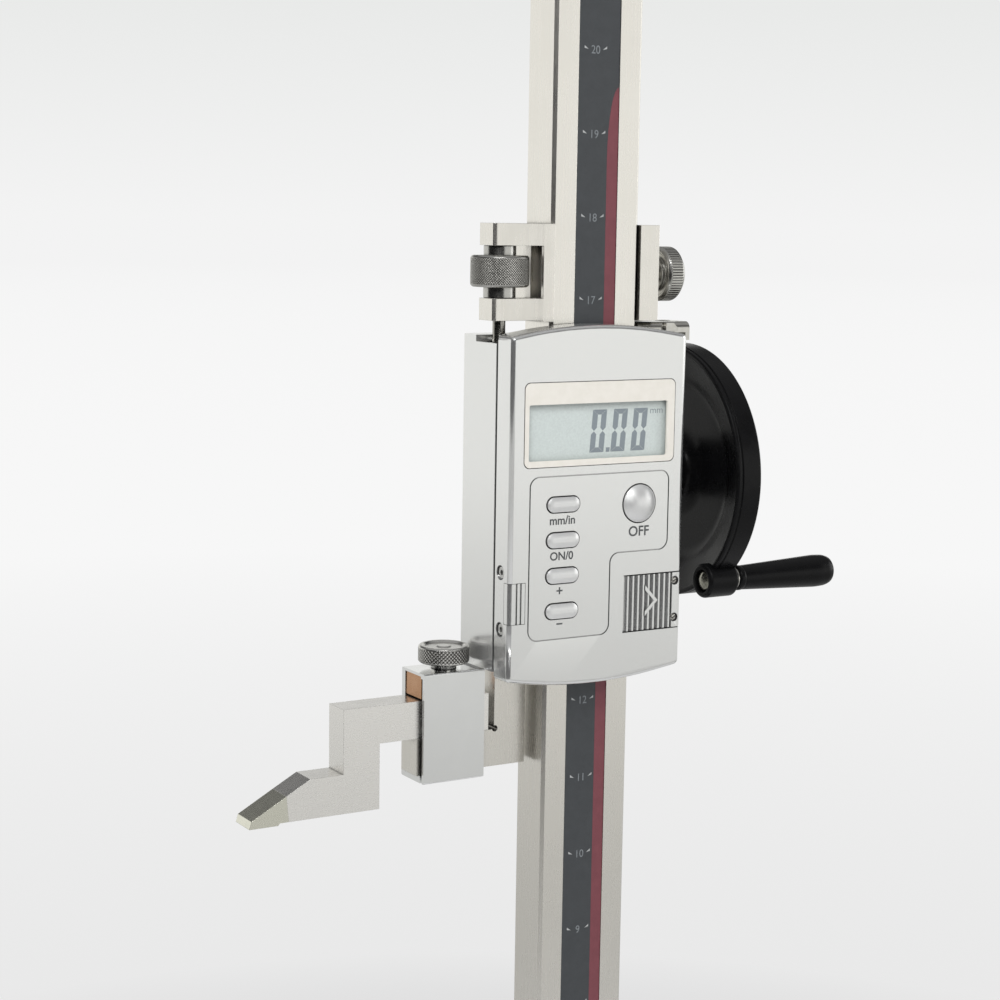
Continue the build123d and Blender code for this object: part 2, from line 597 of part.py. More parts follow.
def make_handwheel():
    """Dished handwheel with a rim for the hand, and the crank boss on its edge."""
    left, right = WHEEL_X
    outline = [(HUB_X[0], HUB_BORE), (HUB_X[0], 8.6), (HUB_X[0] + 0.6, 9.2), (46.2, 10.2), (47.6, 13.0),
               (48.0, 20.0), (47.4, 30.8), (45.6, 32.6), (left + 0.3, 40.2), (left, 40.6), (left, 41.6),
               (left + 0.4, WHEEL_R), (left + 1.3, WHEEL_R), (left + 1.5, 41.6), (left + 1.9, 41.6),
               (left + 2.1, WHEEL_R), (right - 0.6, WHEEL_R), (right, 41.4), (right, 38.6),
               (right - 1.0, 37.4), (right - 1.0, 14.0), (HUB_X[1], 11.0), (HUB_X[1], HUB_BORE)]
    body = turned_x(outline, SHAFT_Y, SHAFT_Z)
    boss = rod_x(CRANK_R, CRANK_X, CRANK_Y, CRANK_Z)
    ends = boss.faces().sort_by(Axis.X)
    boss = chamfer(ends[0].edges(), 0.7)
    boss = chamfer(boss.faces().sort_by(Axis.X)[-1].edges(), 1.6)
    body += boss
    body -= rod_x(SPINDLE_R + SEAT, (39, 54), CRANK_Y, CRANK_Z)
    body -= rod_x(3.7, (39, CRANK_X[0] + 1.8), CRANK_Y, CRANK_Z)
    return body


def make_hub_screw():
    """Screw that holds the handwheel on its shaft."""
    return turned_x([(44, 0), (44, 1.9), (52.0, 1.9), (52.0, 3.8), (53.2, 3.8), (54.0, 2.8), (54.0, 0)],
                    SHAFT_Y, SHAFT_Z)


def make_hub_washer():
    """Washer under the hub screw."""
    return rod_x(6.2, (HUB_X[1], 52.0), SHAFT_Y, SHAFT_Z) - rod_x(1.9 + SEAT, (50, 53), SHAFT_Y, SHAFT_Z)


def make_crank_screw():
    """Round-headed screw in the left end of the crank boss."""
    head = CRANK_X[0] + 1.8
    return turned_x([(CRANK_X[0] + 0.3, 0), (CRANK_X[0] + 0.4, 1.6), (CRANK_X[0] + 0.9, 2.9),
                     (CRANK_X[0] + 1.2, 3.2), (head, 3.2), (head, 1.2), (49, 1.2), (49, 0)], CRANK_Y, CRANK_Z)


def make_crank_spindle():
    """Spindle on which the crank handle turns, with a head inside the handle's end."""
    body = rod_x(SPINDLE_R, (CRANK_X[0] + 1.8, 86.5), CRANK_Y, CRANK_Z)
    body += rod_x(3.4, (86.5, 88.6), CRANK_Y, CRANK_Z)
    return body - rod_x(1.2 + SEAT, (41, 50), CRANK_Y, CRANK_Z)


def make_crank_washer():
    """Bright washer between the boss and the handle."""
    return (rod_x(3.6, (CRANK_X[1], CRANK_X[1] + 0.6), CRANK_Y, CRANK_Z)
            - rod_x(SPINDLE_R + SEAT, (52, 54), CRANK_Y, CRANK_Z))


def make_crank_handle():
    """Turned grip, a little thicker towards its round end."""
    outline = [(GRIP_X[0], 2.06), (GRIP_X[0], 3.5), (53.8, 4.1), (55.0, 4.1), (55.4, 3.9), (56.0, 4.0),
               (72.0, 4.7), (86.0, 5.4), (89.6, 5.2), (91.4, 4.6), (GRIP_X[1], 3.9),
               (86.4, 3.9), (86.4, 2.06)]
    return turned_x(outline, CRANK_Y, CRANK_Z)


# ---------------------------------------------------------------- fine-adjustment carriage
def make_carriage():
    """Block round the beam with two lugs on its left for the fine nut."""
    inner = grown((-SIDE, SIDE), 0.15)
    body = block((CARRIAGE_X[0], inner[0]), (FRONT - 2, COVER_BACK), CARRIAGE_Z)
    body += block((inner[1], CARRIAGE_X[1]), (FRONT - 1, COVER_BACK), CARRIAGE_Z)
    body += block(CARRIAGE_X, (BACK + 0.2, COVER_BACK), CARRIAGE_Z)
    for z in (UPPER_LUG_Z, LOWER_LUG_Z):
        lug = block(LUG_X, LUG_Y, z)
        corner = lug.edges().filter_by(Axis.Z).group_by(Axis.X)[0].sort_by(Axis.Y)[0]
        body += chamfer(corner, 1.2)
        facet = make_face(Polyline((-21.6, LUG_Y[0]), (-20.1, LUG_Y[0] - 2), (-20.1, LUG_Y[0]), close=True))
        body += Pos(0, 0, z[0]) * extrude(facet, z[1] - z[0])
        body -= rod_z(FINE_R + 0.3, FINE_X, FINE_Y, grown(z, 1))
    body -= rod_x(2.5 + SEAT, (17, 25), LOCK_Y, LOCK_Z)
    body -= block((inner[1] - 1, 18.7), (-5, 5), (LOCK_Z - 6.8, LOCK_Z + 6.8))
    return body


def make_carriage_shoe():
    """Brass shoe between the lock screw and the beam."""
    return block((16.5, 18.4), (-4.8, 4.8), (LOCK_Z - 6.6, LOCK_Z + 6.6))


def make_lock_knob():
    """Knurled knob and screw that lock the carriage."""
    outline = [(18.75, 0), (18.75, 2.5), (27.4, 2.5), (27.4, 5.6), (28.2, 5.6), (28.2, 7.2), (28.8, 7.6),
               (29.0, 8.6), (33.2, 8.6), (34.2, 7.4), (34.4, 0)]
    return turned_x(outline, LOCK_Y, LOCK_Z)


def make_fine_nut():
    """Knurled nut with a collar at each end."""
    low, high = LOWER_LUG_Z[1] + RUN, UPPER_LUG_Z[0] - RUN
    bore = FINE_R + 0.06
    outline = [(bore, low), (5.0, low), (5.0, NUT_Z[0]), (NUT_R - 0.6, NUT_Z[0]), (NUT_R, NUT_Z[0] + 0.6),
               (NUT_R, NUT_Z[1] - 0.6), (NUT_R - 0.6, NUT_Z[1]), (5.0, NUT_Z[1]), (5.0, high), (bore, high)]
    return turned_z(outline, FINE_X, FINE_Y)


def make_fine_screw():
    """Screw rod fixed in the slider frame; the fine nut runs on it."""
    return rod_z(FINE_R, FINE_X, FINE_Y, (394.0, 453.5))


# ---------------------------------------------------------------- scriber and clamp
def make_scriber():
    """Offset scriber: bar on the jaw, leg down to the foot, and the bevel towards its tip."""
    points = [(-31.5, SCRIBER_TOP), (-82.3, SCRIBER_TOP), (-82.3, 288.3), (-93.4, 288.3), (-101.3, 284.0),
              (-100.5, 276.0), (-70.0, 276.0), (-70.0, 296.65), (-31.5, 296.65)]
    return slab(make_face(Polyline(*points, close=True)), JAW_Y)


def make_carbide_tip():
    """Carbide tip brazed to the end of the scriber; its underside is the measuring face."""
    points = [(-101.3, 284.0), (-112.7, 277.7), (-113.4, 275.3), (-104.0, 275.3), (-103.4, 276.0),
              (-100.5, 276.0)]
    return slab(make_face(Polyline(*points, close=True)), JAW_Y)


def make_clamp_box():
    """Box open at both ends that goes round the arm and the scriber."""
    body = block(CLAMP_X, CLAMP_Y, CLAMP_Z)
    body = fillet(body.edges().filter_by(Axis.X), 0.5)
    body -= block(grown(CLAMP_X, 1), grown(JAW_Y, RUN), CLAMP_CAVITY_Z)
    return body - rod_z(2.5 + SEAT, CLAMP_MID_X, CLAMP_MID_Y, (315, 319))


def make_clamp_block():
    """Threaded block under the roof of the clamp box."""
    body = block((CLAMP_X[0] + 0.3, CLAMP_X[1] - 0.5), grown(JAW_Y, -SEAT), (308.95, CLAMP_CAVITY_Z[1] - SEAT))
    return body - rod_z(2.5 + SEAT, CLAMP_MID_X, CLAMP_MID_Y, (308, 317))


def make_clamp_knob():
    """Knurled knob and screw that press on the scriber."""
    top = CLAMP_Z[1]
    outline = [(0, SCRIBER_TOP + RUN), (2.5, SCRIBER_TOP + RUN), (2.5, top + 0.05), (4.0, top + 0.05),
               (4.0, 319.0), (7.1, 319.0), (7.8, 319.6), (7.8, 323.2), (7.2, 323.8), (5.6, 324.3), (0, 324.7)]
    return turned_z(outline, CLAMP_MID_X, CLAMP_MID_Y)


# ---------------------------------------------------------------- write every node
save("base", make_base())
save("column_bolts", *make_column_bolts())
save("beam", make_beam())
save("scale_strip", block((-SCALE_W / 2, SCALE_W / 2), (FRONT + SCALE_GROOVE - SCALE_T, FRONT + SCALE_GROOVE),
                          grown(SCALE_Z, -SEAT)))
save("rack", make_rack())
save("rack_screws", *make_rack_screws())
save("top_cap", make_top_cap())
save("top_cap_screws", *make_top_cap_screws())

save("slider_frame", make_slider_frame())
save("keeper_plate", make_keeper_plate())
save("keeper_screws", *make_keeper_screws())
save("gib_strip", block((SIDE + RUN, RIGHT_RAIL[0] - 0.1), (FRONT + 1, BACK - 1), (322, 417)))
save("gib_screws", *make_gib_screws())
save("rear_cover", make_rear_cover())
save("rear_cover_screws", *make_cover_screws())
save("guard_bar", make_guard_bar())
save("guard_bar_screws", *make_guard_screws())
save("fine_screw", make_fine_screw())

save("front_housing", make_front_housing())
save("housing_side_screws", *make_side_screws())
save("display_bezel", make_bezel())
save("lcd_panel", block((-32, 23), (-17.15, -14.65), (381.5, 406.5)))
save("circuit_board", make_circuit_board())
save("sensor_board", block((-8.4, 8.4), (-9.7, -8.3), (335.2, 404.8)))
save("keypad_mat", make_keypad_mat())
save("data_socket", make_data_socket())
save("button_cell", rod_y(CELL_R, CELL_X, (-11.15 - CELL_T, -11.15), CELL_Z))
save("battery_cover", make_battery_cover())
save("battery_cover_screws", *make_battery_screws())
save("battery_contact", make_battery_contact())
save("port_cover", make_port_cover())
for name, height in zip(("button_units", "button_zero", "button_add", "button_subtract"), PILL_Z):
    save(name, make_pill_button(height))
save("button_off", make_round_button())

save("pinion_housing", make_pinion_housing())
save("pinion_housing_screws", *make_housing_screws())
save("shaft_bushes", *make_bushes())
save("pinion_shaft", make_pinion_shaft())
save("handwheel", make_handwheel())
save("hub_screw", make_hub_screw())
save("hub_washer", make_hub_washer())
save("crank_screw", make_crank_screw())
save("crank_spindle", make_crank_spindle())
save("crank_washer", make_crank_washer())
save("crank_handle", make_crank_handle())

save("carriage", make_carriage())
save("carriage_shoe", make_carriage_shoe())
save("lock_knob", make_lock_knob())
save("fine_nut", make_fine_nut())

save("scriber", make_scriber())
save("carbide_tip", make_carbide_tip())
save("clamp_box", make_clamp_box())
save("clamp_block", make_clamp_block())
save("clamp_knob", make_clamp_knob())
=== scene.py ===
"""Looks of a digital height gauge: finishes, turned and moulded pieces, scale and key marks, and a studio.

Everything stands in the frame of the solids, in metres.  Sizes of pieces are fields in millimetres.
"""

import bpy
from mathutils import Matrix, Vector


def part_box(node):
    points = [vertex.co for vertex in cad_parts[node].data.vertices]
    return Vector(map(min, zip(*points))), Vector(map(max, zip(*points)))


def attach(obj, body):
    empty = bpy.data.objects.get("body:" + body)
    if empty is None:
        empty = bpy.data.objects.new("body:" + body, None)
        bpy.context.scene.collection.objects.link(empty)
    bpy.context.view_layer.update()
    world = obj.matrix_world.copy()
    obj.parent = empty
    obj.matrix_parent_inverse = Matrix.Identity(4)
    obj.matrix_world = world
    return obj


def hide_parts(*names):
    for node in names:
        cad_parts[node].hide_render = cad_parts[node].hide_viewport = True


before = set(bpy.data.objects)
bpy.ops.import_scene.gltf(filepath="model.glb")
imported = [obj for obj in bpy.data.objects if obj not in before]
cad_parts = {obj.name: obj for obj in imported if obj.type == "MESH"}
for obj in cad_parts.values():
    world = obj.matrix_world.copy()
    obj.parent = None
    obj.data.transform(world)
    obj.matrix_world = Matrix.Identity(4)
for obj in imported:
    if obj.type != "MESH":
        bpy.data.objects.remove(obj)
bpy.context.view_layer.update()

import logging
import math
from contextlib import contextmanager
from dataclasses import dataclass
from enum import Enum
from typing import Any, Callable, Iterator, Sequence

import bpy
from mathutils import Matrix, Vector

logging.basicConfig(level=logging.INFO, format="%(name)s: %(message)s")
log = logging.getLogger("height_gauge")

MM = 0.001
INCH = 25.4  # mm
WELD = 1e-6  # m; corners nearer than this become one
SPECK = 1e-7  # m; faces smaller than this are dropped
FLAT = 0.4  # degrees; faces that turn less than this become one
CREASE = 32.0  # degrees; edges that turn less than this are shaded smooth
CAPITAL = 0.7  # height of a capital, per size of the built-in face
NOISE = (0.3, 0.7)  # nearly all values of a noise texture lie between these
PAINTED_SHADE_REACH = 1.3  # mm; gaps narrower than this get painted shade
FRAME = 1000  # px; width and height of the frame
SENSOR = 36.0  # mm; width of the camera's sensor

Rgba = tuple[float, float, float, float]
Point = tuple[float, float, float]
Limits = tuple[float, float]
Outline = Sequence[tuple[float, float]]
Socket = bpy.types.NodeSocket
Tree = bpy.types.NodeTree
Obj = bpy.types.Object


class Body(str, Enum):
    """Bodies of the solid model that a piece can ride on."""

    COLUMN = "column"
    SLIDER = "slider"
    WHEEL = "wheel"
    GRIP = "crank_grip"
    BATTERY_DOOR = "battery_door"
    PORT_DOOR = "port_door"
    UNITS_KEY = "units_key"
    ZERO_KEY = "zero_key"
    ADD_KEY = "add_key"
    SUBTRACT_KEY = "subtract_key"
    OFF_KEY = "off_key"
    CARRIAGE = "fine_carriage"
    LOCK = "lock_screw"
    NUT = "feed_nut"
    CLAMP = "clamp"
    CLAMP_SCREW = "clamp_screw"


class Slot(str, Enum):
    """Material slots of the record."""

    CAST_BASE = "cast_base"
    GROUND_STEEL = "ground_steel"
    PLAIN_STEEL = "plain_steel"
    CHROME = "chrome"
    SCALE = "scale"
    BLACK_STEEL = "black_steel"
    SILVER_PAINT = "silver_paint"
    CREAM = "cream"
    DISPLAY = "display"
    BUTTON = "button"
    BLACK_PLASTIC = "black_plastic"


class Axis(Enum):
    """Axis of a turned part, as the turn in radians that lays it on Z."""

    X = (0.0, -math.pi / 2, 0.0)
    Y = (math.pi / 2, 0.0, 0.0)
    Z = (0.0, 0.0, 0.0)


# ------------------------------------------------------------------ nodes and finishes
def linear(code: str) -> Rgba:
    """Turn an sRGB hex colour into the linear colour a socket takes.

    Args:
        code: Six hex digits, with or without a leading hash.

    Returns:
        Red, green, blue and an alpha of one.
    """
    code = code.lstrip("#")
    parts = [int(code[index:index + 2], 16) / 255 for index in (0, 2, 4)]
    parts = [part / 12.92 if part <= 0.04045 else ((part + 0.055) / 1.055) ** 2.4 for part in parts]
    return (parts[0], parts[1], parts[2], 1.0)


def add_node(tree: Tree, kind: str, inputs: dict[Any, Any] | None = None, **options: Any) -> bpy.types.Node:
    """Add one node with its settings and links.

    Args:
        tree: The node tree to add to.
        kind: Blender's name of the node type.
        inputs: Per input name or number, a constant or the socket that is linked to it.
        options: Attributes of the node itself.

    Returns:
        The new node.
    """
    node = tree.nodes.new(kind)
    for name, value in options.items():
        setattr(node, name, value)
    for key, value in (inputs or {}).items():
        if isinstance(value, bpy.types.NodeSocket):
            tree.links.new(value, node.inputs[key])
        else:
            node.inputs[key].default_value = value
    return node


def empty_tree(owner: bpy.types.Material | bpy.types.World) -> Tree:
    """Switch a material or the world to nodes, and clear those that it starts with.

    Args:
        owner: The material or world.

    Returns:
        Its node tree.
    """
    owner.use_nodes = True
    owner.node_tree.nodes.clear()
    return owner.node_tree


def angles(total: float, steps: int) -> list[float]:
    """Angles from zero to a total, in even steps."""
    return [total * step / steps for step in range(steps + 1)]


@dataclass(frozen=True)
class Finish:
    """A named surface; each kind of finish draws its own node tree."""

    label: str

    def material(self) -> bpy.types.Material:
        """Make this finish's material, or give the one already made."""
        known = bpy.data.materials.get(self.label)
        if known is not None:
            return known
        material = bpy.data.materials.new(self.label)
        tree = empty_tree(material)
        add_node(tree, "ShaderNodeOutputMaterial", {"Surface": self.paint(tree)})
        return material

    def paint(self, tree: Tree) -> Socket:
        """Draw the node tree and give its shader.

        Args:
            tree: The node tree.

        Returns:
            The shader socket.
        """
        raise NotImplementedError

    def skin(self, tree: Tree, surface: dict[str, Any], relief: dict[str, Any]) -> Socket:
        """Shader with a relief.

        Args:
            tree: The node tree.
            surface: Inputs of the shader.
            relief: Inputs of its relief, such as its height from 0 to 1 and its depth in metres.

        Returns:
            The shader socket.
        """
        normal = add_node(tree, "ShaderNodeBump", relief).outputs[0]
        return add_node(tree, "ShaderNodeBsdfPrincipled", {**surface, "Normal": normal}).outputs[0]

    def point(self, tree: Tree, centre: Point = (0, 0, 0), axis: Axis = Axis.Z,
              size: Point = (1, 1, 1)) -> Socket:
        """Where a point of the surface lies from a centre, in grains of a size.

        Args:
            tree: The node tree.
            centre: The point that becomes zero, in millimetres.
            axis: Axis of the part that is laid on Z.
            size: Size of a grain along X, Y and Z after the turn, in millimetres.

        Returns:
            The vector socket.
        """
        coords = add_node(tree, "ShaderNodeTexCoord").outputs["Object"]
        moved = add_node(tree, "ShaderNodeVectorMath", {0: coords, 1: tuple(part * MM for part in centre)},
                         operation="SUBTRACT").outputs[0]
        turned = add_node(tree, "ShaderNodeMapping", {"Vector": moved, "Rotation": axis.value}).outputs[0]
        return add_node(tree, "ShaderNodeVectorMath", {0: turned, 1: tuple(1 / (part * MM) for part in size)},
                        operation="MULTIPLY").outputs[0]

    def grain(self, tree: Tree, size: Point, detail: float = 2.0) -> Socket:
        """Unevenness from 0 to 1.

        Args:
            tree: The node tree.
            size: Size of a grain along X, Y and Z, in millimetres.
            detail: How many finer layers of noise are added.

        Returns:
            The value socket.
        """
        cells = add_node(tree, "ShaderNodeTexNoise", {"Vector": self.point(tree, size=size), "Scale": 1.0,
                                                      "Detail": detail}).outputs["Fac"]
        return add_node(tree, "ShaderNodeMapRange",
                        {"Value": cells, "From Min": NOISE[0], "From Max": NOISE[1]}).outputs[0]

    def in_recess(self, tree: Tree, colour: Socket, reach: float = PAINTED_SHADE_REACH) -> Socket:
        """Darken a colour with painted shade in gaps and inner corners.

        Args:
            tree: The node tree.
            colour: The colour of the open surface.
            reach: Gaps narrower than this get painted shade, in millimetres.

        Returns:
            The colour socket.
        """
        # painted shade: ambient occlusion darkens the colour in gaps and inner corners
        openness = add_node(tree, "ShaderNodeAmbientOcclusion", {"Distance": reach * MM}, samples=6)
        shade = add_node(tree, "ShaderNodeMapRange", {"Value": openness.outputs["AO"], "From Min": 0.15,
                                                      "From Max": 0.8, "To Min": 0.15, "To Max": 1.0})
        return add_node(tree, "ShaderNodeMix", {0: 1.0, 6: colour, 7: shade.outputs[0]}, data_type="RGBA",
                        blend_type="MULTIPLY").outputs[2]

    def blend(self, tree: Tree, factor: Socket, first: str, second: str, reach: float = PAINTED_SHADE_REACH) -> Socket:
        """Mix of two colours, with painted shade in recesses.

        Args:
            tree: The node tree.
            factor: Share of the second colour.
            first: Hex colour where the factor is 0.
            second: Hex colour where the factor is 1.
            reach: Gaps narrower than this get painted shade, in millimetres.

        Returns:
            The colour socket.
        """
        mix = add_node(tree, "ShaderNodeMix", {0: factor, 6: linear(first), 7: linear(second)},
                       data_type="RGBA")
        return self.in_recess(tree, mix.outputs[2], reach)


@dataclass(frozen=True)
class GroundSteel(Finish):
    """Ground, satin hard-chromed steel: faint parallel wheel marks, soft clouds of polish, warm grey."""

    light: str = "#F0EDE7"
    dark: str = "#EEEBE4"
    marks: Point = (0.5, 0.5, 60.0)  # mm; wheel marks are 0.05 mm wide and drawn coarser to show
    rough: tuple[float, float] = (0.24, 0.31)
    cloud: float = 12.0  # mm
    depth: float = 0.0003  # mm
    edge: float = 0.15  # mm; broken edge, which catches a thin line of light
    reach: float = PAINTED_SHADE_REACH  # mm; gaps narrower than this get painted shade

    def paint(self, tree: Tree) -> Socket:
        """Streaks along the grinding direction in colour, roughness and relief.

        Args:
            tree: The node tree.

        Returns:
            The shader socket.
        """
        marks = self.grain(tree, self.marks, 3.0)
        clouds = self.grain(tree, (self.cloud,) * 3)
        tone = 0.0
        for unevenness in (marks, clouds):
            tone = add_node(tree, "ShaderNodeMath", {0: unevenness, 1: 0.5, 2: tone},
                            operation="MULTIPLY_ADD").outputs[0]
        rough = add_node(tree, "ShaderNodeMapRange", {"Value": tone, "To Min": self.rough[1],
                                                      "To Max": self.rough[0]}).outputs[0]
        broken = add_node(tree, "ShaderNodeBevel", {"Radius": self.edge * MM}, samples=8).outputs[0]
        colour = self.blend(tree, tone, self.dark, self.light, self.reach)
        return self.skin(tree, {"Metallic": 1.0, "Base Color": colour, "Roughness": rough},
                         {"Height": marks, "Distance": self.depth * MM, "Strength": 0.6, "Normal": broken})


@dataclass(frozen=True)
class Plated(Finish):
    """Polished chrome or nickel plate: near mirror, with a trace of buffing haze."""

    tint: str = "#D6D8D9"
    haze_tint: str = "#C2C4C5"
    rough: tuple[float, float] = (0.08, 0.15)
    haze: float = 7.0  # mm

    def paint(self, tree: Tree) -> Socket:
        """Slow changes in tone and roughness, and fine buffing lines of 0.4 mm.

        Args:
            tree: The node tree.

        Returns:
            The shader socket.
        """
        clouds = self.grain(tree, (self.haze,) * 3, 3.0)
        lines = self.grain(tree, (0.4, 3.0, 0.4))
        rough = add_node(tree, "ShaderNodeMapRange", {"Value": clouds, "To Min": self.rough[0],
                                                      "To Max": self.rough[1]}).outputs[0]
        colour = self.blend(tree, clouds, self.tint, self.haze_tint)
        return self.skin(tree, {"Metallic": 1.0, "Base Color": colour, "Roughness": rough},
                         {"Height": lines, "Distance": 0.001 * MM, "Strength": 0.4})


@dataclass(frozen=True)
class Turned(Finish):
    """Lathe-turned metal: fine rings about an axis, which stretch each highlight across them."""

    tint: str = "#C9C8C4"
    shade: str = "#A9A8A4"
    centre: Point = (0.0, 0.0, 0.0)
    axis: Axis = Axis.Z
    pitch: float = 0.3  # mm; real feed marks are 0.1 mm
    rough: tuple[float, float] = (0.18, 0.28)

    def paint(self, tree: Tree) -> Socket:
        """Rings from the distance to the axis and the distance along it.

        Args:
            tree: The node tree.

        Returns:
            The shader socket.
        """
        spot = add_node(tree, "ShaderNodeSeparateXYZ", {0: self.point(tree, self.centre, self.axis)}).outputs
        flat = add_node(tree, "ShaderNodeCombineXYZ", {0: spot[0], 1: spot[1]}).outputs[0]
        across = add_node(tree, "ShaderNodeVectorMath", {0: flat}, operation="LENGTH").outputs["Value"]
        along = add_node(tree, "ShaderNodeMath", {0: across, 1: spot[2]}).outputs[0]
        rings = add_node(tree, "ShaderNodeTexNoise", {"W": along, "Scale": 1 / self.pitch, "Detail": 1.0},
                         noise_dimensions="1D").outputs[0]
        rough = add_node(tree, "ShaderNodeMapRange", {"Value": rings, "From Min": NOISE[0],
                                                      "From Max": NOISE[1], "To Min": self.rough[0],
                                                      "To Max": self.rough[1]}).outputs[0]
        colour = self.blend(tree, rings, self.shade, self.tint)
        return self.skin(tree, {"Metallic": 1.0, "Base Color": colour, "Roughness": rough},
                         {"Height": rings, "Distance": 0.003 * MM, "Strength": 0.5})


@dataclass(frozen=True)
class Knurled(Finish):
    """Rolled knurl round an axis: crossed or straight ridges between plain ends, with painted highlight on
    the crests and painted shade in the valleys.
    """

    # tint: painted highlight on the ridge crests; shade: painted shade in the valleys
    tint: str = "#D2D1CC"
    shade: str = "#55534F"
    plain: str = "#BDBCB8"
    centre: Point = (0.0, 0.0, 0.0)
    axis: Axis = Axis.Z
    radius: float = 9.0  # mm
    band: tuple[float, float] = (0.0, 1.0)  # mm along the axis, where the ridges run
    pitch: float = 0.8  # mm along the circumference
    crossed: bool = True
    depth: float = 0.14  # mm
    rough: float = 0.24
    run_out: float = 0.25  # mm over which the ridges end

    def paint(self, tree: Tree) -> Socket:
        """Turns round the axis plus and minus the rise along it give two families of ridges.

        Args:
            tree: The node tree.

        Returns:
            The shader socket.
        """
        spot = add_node(tree, "ShaderNodeSeparateXYZ", {0: self.point(tree, self.centre, self.axis)}).outputs
        angle = add_node(tree, "ShaderNodeMath", {0: spot[1], 1: spot[0]}, operation="ARCTAN2").outputs[0]
        ridges = round(2 * math.pi * self.radius / self.pitch)
        height = None
        for direction in ((-1, 1) if self.crossed else (0,)):
            rise = add_node(tree, "ShaderNodeMath", {0: spot[2], 1: direction * math.pi / self.pitch},
                            operation="MULTIPLY").outputs[0]
            phase = add_node(tree, "ShaderNodeMath", {0: angle, 1: ridges / 2, 2: rise},
                             operation="MULTIPLY_ADD").outputs[0]
            wave = add_node(tree, "ShaderNodeMath", {0: phase}, operation="SINE").outputs[0]
            ridge = add_node(tree, "ShaderNodeMath", {0: wave}, operation="ABSOLUTE").outputs[0]
            height = ridge if height is None else add_node(tree, "ShaderNodeMath", {0: height, 1: ridge},
                                                           operation="MULTIPLY").outputs[0]
        middle, reach = sum(self.band) / 2, (self.band[1] - self.band[0]) / 2
        offset = add_node(tree, "ShaderNodeMath", {0: spot[2], 1: middle}, operation="SUBTRACT").outputs[0]
        offset = add_node(tree, "ShaderNodeMath", {0: offset}, operation="ABSOLUTE").outputs[0]
        inside = add_node(tree, "ShaderNodeMapRange",
                          {"Value": offset, "From Min": reach - self.run_out, "From Max": reach,
                           "To Min": 1.0, "To Max": 0.0}).outputs[0]
        rolled = add_node(tree, "ShaderNodeMapRange",
                          {"Value": height, "From Min": 0.1, "From Max": 0.75}).outputs[0]
        # painted highlight and painted shade: crests take the tint, valleys the shade, by ridge height
        ridged = add_node(tree, "ShaderNodeMix", {0: rolled, 6: linear(self.shade), 7: linear(self.tint)},
                          data_type="RGBA").outputs[2]
        colour = add_node(tree, "ShaderNodeMix", {0: inside, 6: linear(self.plain), 7: ridged},
                          data_type="RGBA").outputs[2]
        level = add_node(tree, "ShaderNodeMath", {0: height, 1: inside}, operation="MULTIPLY").outputs[0]
        colour = self.in_recess(tree, colour)
        return self.skin(tree, {"Metallic": 1.0, "Roughness": self.rough, "Base Color": colour},
                         {"Height": level, "Distance": self.depth * MM})


@dataclass(frozen=True)
class SprayedSilver(Finish):
    """Silver lacquer on a moulded housing: fine metal flake under a satin skin with slight orange peel."""

    light: str = "#EBEBEA"
    dark: str = "#E9EAE9"
    metallic: float = 0.86
    rough: tuple[float, float] = (0.17, 0.2)

    def paint(self, tree: Tree) -> Socket:
        """Flake of 0.1 mm, drawn at 0.6 mm, in colour; orange peel of 1.5 mm in roughness and relief.

        Args:
            tree: The node tree.

        Returns:
            The shader socket.
        """
        flake = self.grain(tree, (0.6,) * 3)
        peel = self.grain(tree, (1.5,) * 3)
        rough = add_node(tree, "ShaderNodeMapRange", {"Value": peel, "To Min": self.rough[0],
                                                      "To Max": self.rough[1]}).outputs[0]
        colour = self.blend(tree, flake, self.dark, self.light)
        return self.skin(tree, {"Metallic": self.metallic, "Base Color": colour, "Roughness": rough},
                         {"Height": peel, "Distance": 0.002 * MM, "Strength": 0.5})


@dataclass(frozen=True)
class Moulded(Finish):
    """Moulded plastic, rubber or printed film: even colour with a faint mottle and a fine moulded grain."""

    tone: str = "#EFEBE2"
    mottle: str = "#E9E5DB"
    rough: tuple[float, float] = (0.32, 0.42)
    grain_size: float = 0.35  # mm
    depth: float = 0.003  # mm
    specular: float = 0.5

    def paint(self, tree: Tree) -> Socket:
        """Colour mottle of 3 mm, grain in relief and roughness.

        Args:
            tree: The node tree.

        Returns:
            The shader socket.
        """
        patches = self.grain(tree, (3.0,) * 3, 3.0)
        fine = self.grain(tree, (self.grain_size,) * 3)
        rough = add_node(tree, "ShaderNodeMapRange", {"Value": fine, "To Min": self.rough[0],
                                                      "To Max": self.rough[1]}).outputs[0]
        colour = self.blend(tree, patches, self.mottle, self.tone)
        return self.skin(tree, {"IOR": 1.5, "Specular IOR Level": self.specular, "Base Color": colour,
                                "Roughness": rough},
                         {"Height": fine, "Distance": self.depth * MM, "Strength": 0.5})


@dataclass(frozen=True)
class Hammered(Finish):
    """Hammer enamel on cast iron: rounded dimples under a half-gloss skin."""

    tone: str = "#5B6064"
    shade: str = "#43484C"
    dimple: float = 3.2  # mm

    def paint(self, tree: Tree) -> Socket:
        """Cells for the dimples, flake of 0.4 mm in the colour.

        Args:
            tree: The node tree.

        Returns:
            The shader socket.
        """
        cells = add_node(tree, "ShaderNodeTexVoronoi",
                         {"Scale": 1.0, "Vector": self.point(tree, size=(self.dimple,) * 3)},
                         feature="SMOOTH_F1").outputs["Distance"]
        flake = self.grain(tree, (0.4,) * 3)
        colour = self.blend(tree, flake, self.shade, self.tone)
        return self.skin(tree, {"Roughness": 0.34, "Metallic": 0.35, "Coat Weight": 0.4,
                                "Coat Roughness": 0.12, "Base Color": colour},
                         {"Height": cells, "Distance": 0.12 * MM, "Strength": 0.8})


